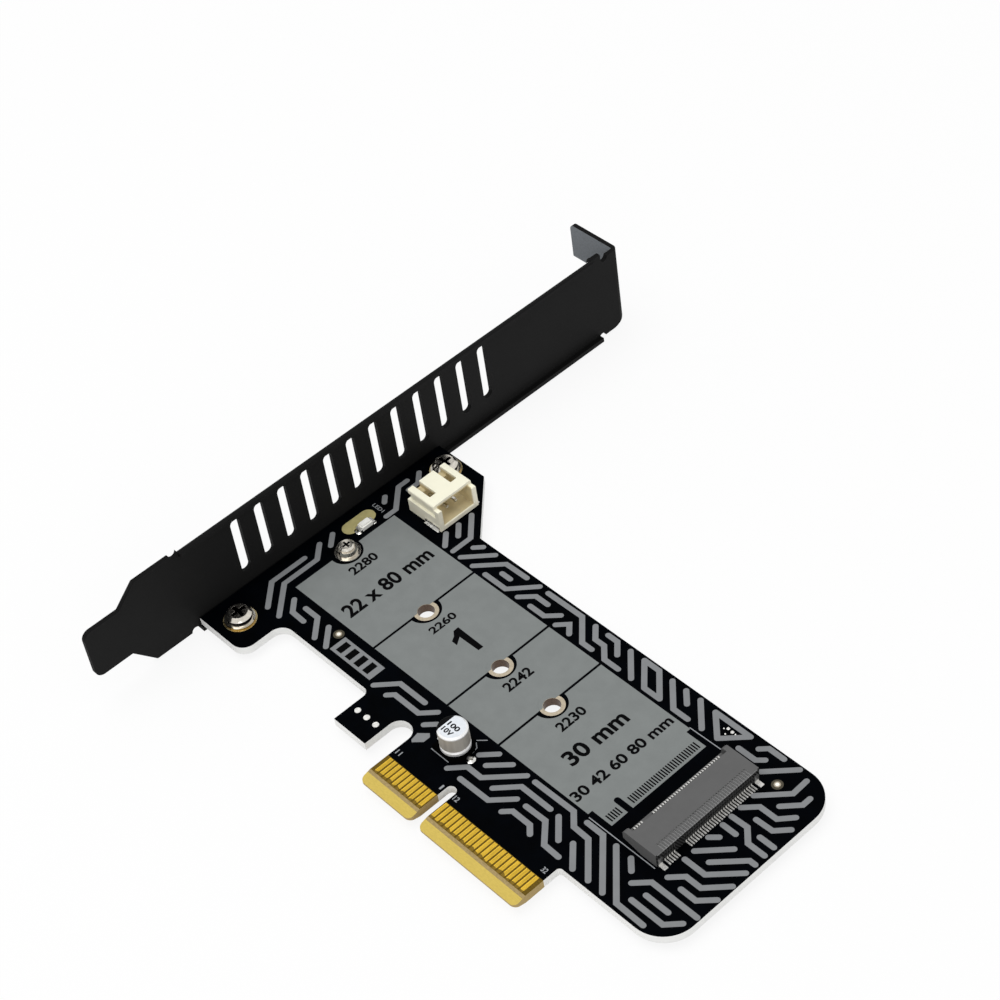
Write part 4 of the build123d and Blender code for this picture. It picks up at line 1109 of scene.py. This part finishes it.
class CARD_OT_field(Operator):
    """Print the grey module field with its lengths, ticks and numbers"""

    bl_idname = "card.field"
    bl_label = "Module field"

    def execute(self, context):
        look = context.scene.card_print
        low = MODULE_AXIS - look.field_width / 2
        high = MODULE_AXIS + look.field_width / 2
        level = BOARD_TOP + look.thickness
        holes = [(MODULE_STOP - length, MODULE_AXIS) for length in MODULE_LENGTHS][::-1]
        edges = [look.field_start] + [hole[0] - TILE_OFFSET for hole in holes[1:]]
        shape = bmesh.new()
        for index, hole in enumerate(holes[:-1]):
            left = edges[index] + (look.line_width / 2 if index else 0)
            right = edges[index + 1] - look.line_width / 2
            hole_right = holes[index + 1]
            outline = field_tile(left, right, low, high, hole, hole_right, look)
            prism(shape, outline, BOARD_TOP, level)
            over_ring = crescent(hole_right, right, look.bore_clearance, RING_RADIUS)
            prism(shape, over_ring, level, HOLES[1][2] + THIN_INK)
        left = edges[-1] + look.line_width / 2
        outline = self.socket_tile(left, low, high, holes[-1], look)
        prism(shape, outline, BOARD_TOP, level)
        ink = ink_finish("grey_ink", look.ink)
        finish_piece("module_field", shape, ink)
        self.lettering(look, level)
        return {"FINISHED"}

    def socket_tile(self, left, low, high, hole, look):
        """Outline of the last tile, stepped at its corners and notched for the module's key."""
        end = look.field_end
        outline = [(left, low), (STEP_START, low), (STEP_START, low + STEP_DEPTH),
                   (end, low + STEP_DEPTH), (end, KEY_AXIS - KEY_RADIUS)]
        outline += arc((KEY_END, KEY_AXIS), KEY_RADIUS, 3 * math.pi / 2, math.pi / 2, 10)
        outline += [(end, KEY_AXIS + KEY_RADIUS), (end, high - STEP_DEPTH),
                    (STEP_START, high - STEP_DEPTH), (STEP_START, high), (left, high)]
        return outline + halo(hole, left, look)

    def lettering(self, look, level):
        """Numbers and ticks in black on the field."""
        shape = bmesh.new()
        levels = (level, level + look.thickness / 2)
        letters(shape, FIELD_WORDS, levels, along_x=False, weight=BOLD)
        prism(shape, scaled(ONE), *levels)
        for start, count in TICK_ROWS:
            for index in range(count):
                y = start + TICK_PITCH * index
                tick = rectangle(TICK_START, TICK_END, y - TICK_WIDTH / 2, y + TICK_WIDTH / 2)
                prism(shape, scaled(tick), *levels)
        black = ink_finish("black_ink", look.black_ink)
        finish_piece("field_lettering", shape, black)


class CARD_OT_strokes(Operator):
    """Print the bands of strokes round the module field"""

    bl_idname = "card.strokes"
    bl_label = "Printed strokes"

    def execute(self, context):
        look = context.scene.card_print
        metals = context.scene.card_metals
        level = BOARD_TOP + look.thickness
        ink = ink_finish("stroke_ink", look.stroke_ink)
        bands = (("upper_strokes", UPPER_STROKES), ("right_strokes", RIGHT_STROKES),
                 ("lower_strokes", LOWER_STROKES), ("left_strokes", LEFT_STROKES))
        for name, lines in bands:
            shape = bmesh.new()
            for points in lines:
                prism(shape, stroke(scaled(points), look.stroke_width), BOARD_TOP, level)
            finish_piece(name, shape, ink)
        self.closed_figures(look, level, ink)
        self.dots(level, metals)
        self.box(look, level, ink)
        self.fine_marks(look, level)
        return {"FINISHED"}

    def closed_figures(self, look, level, ink):
        """Triangle and leaning frame of the upper band, and the block beside the hook."""
        shape = bmesh.new()
        for corners in (TRIANGLE, LEANING_FRAME):
            closed_stroke(shape, scaled(corners), look.stroke_width, BOARD_TOP, level)
        prism(shape, scaled(LEFT_BLOCK), BOARD_TOP, level)
        finish_piece("printed_triangle", shape, ink)

    def dots(self, level, metals):
        """Tinned test dots inside the triangle."""
        dots = bmesh.new()
        for x, y, radius in TRIANGLE_DOTS:
            centre = (x * MM, y * MM)
            profile = [(0, BOARD_TOP), (radius * MM, BOARD_TOP),
                       (radius * 0.7 * MM, level + 0.06 * MM), (0, level + 0.09 * MM)]
            turned(dots, profile, centre, 12)
        tin = metal_finish("tinned_dots", metals.tin, 0.2, 0.2 * MM)
        smooth(finish_piece("tinned_dots", dots, tin))

    def box(self, look, level, ink):
        """Plain printed box with dark bars."""
        shape = bmesh.new()
        x_low, x_high, y_low, y_high = [value * MM for value in BOX]
        prism(shape, rectangle(x_low, x_high, y_low, y_high), BOARD_TOP, level)
        finish_piece("printed_box", shape, ink)
        bars = bmesh.new()
        top = level + look.thickness / 2
        inset = BAR_INSET * MM
        for index in range(BAR_COUNT):
            start = x_low + (BAR_START + BAR_PITCH * index) * MM
            bar = rectangle(start, start + BAR_WIDTH * MM, y_low + inset, y_high - inset)
            prism(bars, bar, level, top)
        black = ink_finish("bar_ink", look.black_ink)
        finish_piece("printed_bars", bars, black)

    def fine_marks(self, look, level):
        """Thin outlines beside the parts, the contacts' small numbers and the diode's label."""
        shape = bmesh.new()
        for points in FINE_LINES:
            prism(shape, stroke(scaled(points), look.fine_width, 4), BOARD_TOP, level)
        levels = (BOARD_TOP, level)
        letters(shape, CONTACT_NUMBERS, levels, along_x=True, weight=MEDIUM)
        letters(shape, DIODE_WORDS, levels, along_x=True, weight=0)
        pale = ink_finish("pale_ink", look.pale_ink)
        finish_piece("fine_marks", shape, pale)


class CARD_OT_bracket(Operator):
    """Finish the slot bracket"""

    bl_idname = "card.bracket"
    bl_label = "Bracket"

    def execute(self, context):
        dress("bracket", paint_finish(context.scene.card_metals), edge=0.1 * MM)
        return {"FINISHED"}


class CARD_OT_fasteners(Operator):
    """Finish the bracket screws, the standoff, its nut and the module screw"""

    bl_idname = "card.fasteners"
    bl_label = "Screws and standoff"

    def execute(self, context):
        metals = context.scene.card_metals
        nickel = metal_finish("nickel_plating", metals.nickel, 0.16, 0.5 * MM)
        for node in ("module_standoff", "standoff_nut"):
            dress(node, nickel, edge=0.06 * MM)
        flange_top = BOARD_TOP + 0.4 * MM
        self.screws("bracket_screws", metals, 2.65 * MM, 2.25 * MM, flange_top)
        self.screws("module_screw", metals, 1.45 * MM, 1.45 * MM, flange_top=0)
        return {"FINISHED"}

    def screws(self, node, metals, reach, head_radius, flange_top):
        """Finishes one or two screws whose axes stand a reach inside the ends of their box."""
        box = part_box(node)
        x = (box[0][0] + box[1][0]) / 2
        centres = [(x, box[0][1] + reach), (x, box[1][1] - reach)]
        metal = screw_finish(node, metals, centres, head_radius, box[1][2], flange_top)
        dress(node, metal, edge=0.06 * MM)


class CARD_OT_socket(Operator):
    """Finish the module socket, its two rows of contacts and its tabs"""

    bl_idname = "card.socket"
    bl_label = "Module socket"

    def execute(self, context):
        plastics = context.scene.card_plastics
        metals = context.scene.card_metals
        dress("socket_housing", socket_finish(plastics), edge=0.05 * MM)
        rear = contact_finish("rear_tin", metals, metals.riser_painted_shade)
        dress("socket_rear_contacts", rear)
        front = mottled("front_tin", metals.tin, 0.4, 0.3 * MM, 0.1, 0.003 * MM, metallic=0.3)
        dress("socket_front_contacts", front)
        dress("socket_anchor_tabs", contact_finish("anchor_tin", metals, metals.anchor))
        return {"FINISHED"}


class CARD_OT_capacitor(Operator):
    """Finish the capacitor and print its top"""

    bl_idname = "card.capacitor"
    bl_label = "Capacitor"

    def execute(self, context):
        plastics = context.scene.card_plastics
        metals = context.scene.card_metals
        ink = context.scene.card_print.black_ink
        dress("capacitor_can", can_finish(metals, ink))
        base = mottled("capacitor_moulding", plastics.resin, 0.6, 1.2 * MM, 0.2, specular=0.0)
        dress("capacitor_base", base, edge=0.06 * MM)
        dress("capacitor_leads", metal_finish("lead_tin", metals.tin, 0.3, 0.3 * MM))
        self.top_print(ink)
        return {"FINISHED"}

    def top_print(self, ink):
        """Two lines of figures on the can's top."""
        levels = (CAN[1][2], CAN[1][2] + THIN_INK)
        shape = bmesh.new()
        letters(shape, CAN_WORDS, levels, along_x=True, weight=BOLD)
        black = ink_finish("can_ink", ink)
        finish_piece("capacitor_marks", shape, black)


class CARD_OT_header(Operator):
    """Finish the fan header, its pins and its fixing tabs"""

    bl_idname = "card.header"
    bl_label = "Fan header"

    def execute(self, context):
        plastics = context.scene.card_plastics
        metals = context.scene.card_metals
        dress("header_housing", header_finish(plastics), edge=0.09 * MM)
        tin = metal_finish("pin_tin", metals.tin, 0.26, 0.4 * MM)
        dress("header_pins", tin, edge=0.04 * MM)
        dress("header_fixing_tabs", tin, edge=0.03 * MM)
        return {"FINISHED"}


class CARD_OT_small_parts(Operator):
    """Finish the light emitting diode and the chip parts"""

    bl_idname = "card.small_parts"
    bl_label = "Diode and chips"

    def execute(self, context):
        plastics = context.scene.card_plastics
        metals = context.scene.card_metals
        lens = mottled("diode_lens", plastics.lens, 0.25, 0.8 * MM, 0.04, coat=0.3)
        dress("led_body", lens, edge=0.06 * MM)
        tin = metal_finish("terminal_tin", metals.tin, 0.32, 0.25 * MM)
        dress("led_terminals", tin, edge=0.04 * MM)
        dress("chip_terminals", tin, edge=0.04 * MM)
        ceramic = mottled("chip_ceramic", plastics.ceramic, 0.5, 0.4 * MM, 0.12, specular=0.3)
        dress("chip_capacitors", ceramic, edge=0.04 * MM)
        resin = mottled("chip_resin", plastics.resin, 0.4, 0.4 * MM, 0.2, specular=0.3)
        dress("chip_resistors", resin, edge=0.03 * MM)
        return {"FINISHED"}


class CARD_OT_solder(Operator):
    """Add the solder at the capacitor's leads and the diode's terminals"""

    bl_idname = "card.solder"
    bl_label = "Solder joints"

    def execute(self, context):
        tin = context.scene.card_metals.tin
        solder = metal_finish("solder", tin, 0.22, 0.5 * MM, contrast=0.1)
        shape = bmesh.new()
        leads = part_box("capacitor_leads")
        middle = (leads[0][1] + leads[1][1]) / 2
        half_x, half_y, rise = 0.65 * MM, 0.75 * MM, 0.42 * MM
        for x in (leads[0][0], leads[1][0]):
            mound(shape, x - half_x, x + half_x, middle - half_y, middle + half_y, rise)
        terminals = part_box("led_terminals")
        middle = (terminals[0][0] + terminals[1][0]) / 2
        half_x, before, after, rise = 0.8 * MM, 0.55 * MM, 0.35 * MM, 0.4 * MM
        for y in (terminals[0][1], terminals[1][1]):
            mound(shape, middle - half_x, middle + half_x, y - before, y + after, rise)
        smooth(finish_piece("solder_joints", shape, solder), angle=50)
        return {"FINISHED"}


def camera_at(place, right, up):
    """Matrix of a camera that stands at a place, from its own right and up directions."""
    back = Vector(right).cross(Vector(up))
    turn = Matrix((right, up, back)).transposed().to_4x4()
    return Matrix.Translation(place) @ turn


def background_rays(nodes, links):
    """One where a camera, glossy or transmission ray meets the surface, and zero elsewhere."""
    path = nodes.new("ShaderNodeLightPath")
    total = path.outputs["Is Camera Ray"]
    for name in ("Is Glossy Ray", "Is Transmission Ray"):
        larger = nodes.new("ShaderNodeMath")
        larger.operation = "MAXIMUM"
        links.new(total, larger.inputs[0])
        links.new(path.outputs[name], larger.inputs[1])
        total = larger.outputs["Value"]
    return total


class CARD_OT_stage(Operator):
    """Set the floor, the light and the camera"""

    bl_idname = "card.stage"
    bl_label = "Stage"

    def execute(self, context):
        look = context.scene.card_stage
        self.floor(context, look)
        self.world(context, look)
        self.lamps(context, look)
        camera = bpy.data.objects.new("camera", bpy.data.cameras.new("camera"))
        camera.data.lens = look.lens
        camera.data.shift_x = look.shift_across
        camera.data.shift_y = look.shift_up
        camera.data.sensor_width = 36
        camera.data.clip_start = 0.005
        camera.data.clip_end = 20
        camera.matrix_world = camera_at(CAMERA_PLACE, CAMERA_RIGHT, CAMERA_UP)
        context.scene.collection.objects.link(camera)
        context.scene.camera = camera
        context.scene.view_settings.view_transform = "Standard"
        return {"FINISHED"}

    def floor(self, context, look):
        """Pale floor just under the lowest point of the card."""
        reach = 3.0
        level = cad_box[0][2] - 0.01 * MM
        mesh = bpy.data.meshes.new("floor")
        corners = [(x, y, level) for x, y in rectangle(-reach, reach, -reach, reach)]
        mesh.from_pydata(corners, [], [(0, 1, 2, 3)])
        floor = bpy.data.objects.new("floor", mesh)
        context.scene.collection.objects.link(floor)
        material = bpy.data.materials.new("floor_paint")
        material.use_nodes = True
        nodes, links = material.node_tree.nodes, material.node_tree.links
        paint = nodes["Principled BSDF"]
        paint.inputs["Base Color"].default_value = (*look.floor_colour, 1)
        paint.inputs["Roughness"].default_value = 0.9
        paint.inputs["Specular IOR Level"].default_value = 0.1
        white = nodes.new("ShaderNodeEmission")
        share = nodes.new("ShaderNodeMath")
        share.operation = "MULTIPLY"
        share.inputs[1].default_value = look.floor_white
        links.new(background_rays(nodes, links), share.inputs[0])
        mix = nodes.new("ShaderNodeMixShader")
        links.new(share.outputs["Value"], mix.inputs["Fac"])
        links.new(paint.outputs["BSDF"], mix.inputs[1])
        links.new(white.outputs["Emission"], mix.inputs[2])
        links.new(mix.outputs["Shader"], nodes["Material Output"].inputs["Surface"])
        mesh.materials.append(material)

    def world(self, context, look):
        """Even light from all round, and plain white behind."""
        world = bpy.data.worlds.new("studio")
        world.use_nodes = True
        nodes, links = world.node_tree.nodes, world.node_tree.links
        strength = nodes.new("ShaderNodeMapRange")
        strength.inputs["To Min"].default_value = look.sky_level
        strength.inputs["To Max"].default_value = 1.0
        links.new(background_rays(nodes, links), strength.inputs["Value"])
        background = nodes["Background"]
        background.inputs["Color"].default_value = (1, 1, 1, 1)
        links.new(strength.outputs["Result"], background.inputs["Strength"])
        context.scene.world = world

    def lamps(self, context, look):
        """A large soft lamp overhead and a weaker one on the camera's side."""
        for name, power, size, place in (
            ("key_lamp", look.key_power, 0.7, (-0.15, -0.1, 0.75)),
            ("fill_lamp", look.fill_power, 0.5, (0.6, -0.45, 0.35)),
        ):
            lamp = bpy.data.objects.new(name, bpy.data.lights.new(name, "AREA"))
            lamp.data.energy = power
            lamp.data.shape = "DISK"
            lamp.data.size = size
            lamp.location = place
            way = Vector(CARD_MIDDLE) - Vector(place)
            lamp.rotation_euler = way.to_track_quat("-Z", "Y").to_euler()
            context.scene.collection.objects.link(lamp)


STEPS = (
    CARD_OT_stage,
    CARD_OT_board,
    CARD_OT_field,
    CARD_OT_strokes,
    CARD_OT_bracket,
    CARD_OT_fasteners,
    CARD_OT_socket,
    CARD_OT_capacitor,
    CARD_OT_header,
    CARD_OT_small_parts,
    CARD_OT_solder,
)
LOOKS = {
    "card_board": CardBoardLook,
    "card_print": CardPrintLook,
    "card_metals": CardMetalLook,
    "card_plastics": CardPlasticLook,
    "card_stage": CardStageLook,
}


class CARD_PT_sidebar(Panel):
    """Lists the steps that dress the card"""

    bl_idname = "CARD_PT_sidebar"
    bl_label = "Adapter card"
    bl_space_type = "VIEW_3D"
    bl_region_type = "UI"
    bl_category = "Card"

    def draw(self, context):
        for step in STEPS:
            self.layout.operator(step.bl_idname)


def register():
    for look in LOOKS.values():
        bpy.utils.register_class(look)
    for step in STEPS:
        bpy.utils.register_class(step)
    bpy.utils.register_class(CARD_PT_sidebar)
    for name, look in LOOKS.items():
        setattr(bpy.types.Scene, name, PointerProperty(type=look))


def unregister():
    for name in LOOKS:
        delattr(bpy.types.Scene, name)
    bpy.utils.unregister_class(CARD_PT_sidebar)
    for step in reversed(STEPS):
        bpy.utils.unregister_class(step)
    for look in reversed(LOOKS.values()):
        bpy.utils.unregister_class(look)


def main():
    register()
    for step in STEPS:
        group, name = step.bl_idname.split(".")
        getattr(getattr(bpy.ops, group), name)()


if __name__ == "__main__":
    main()
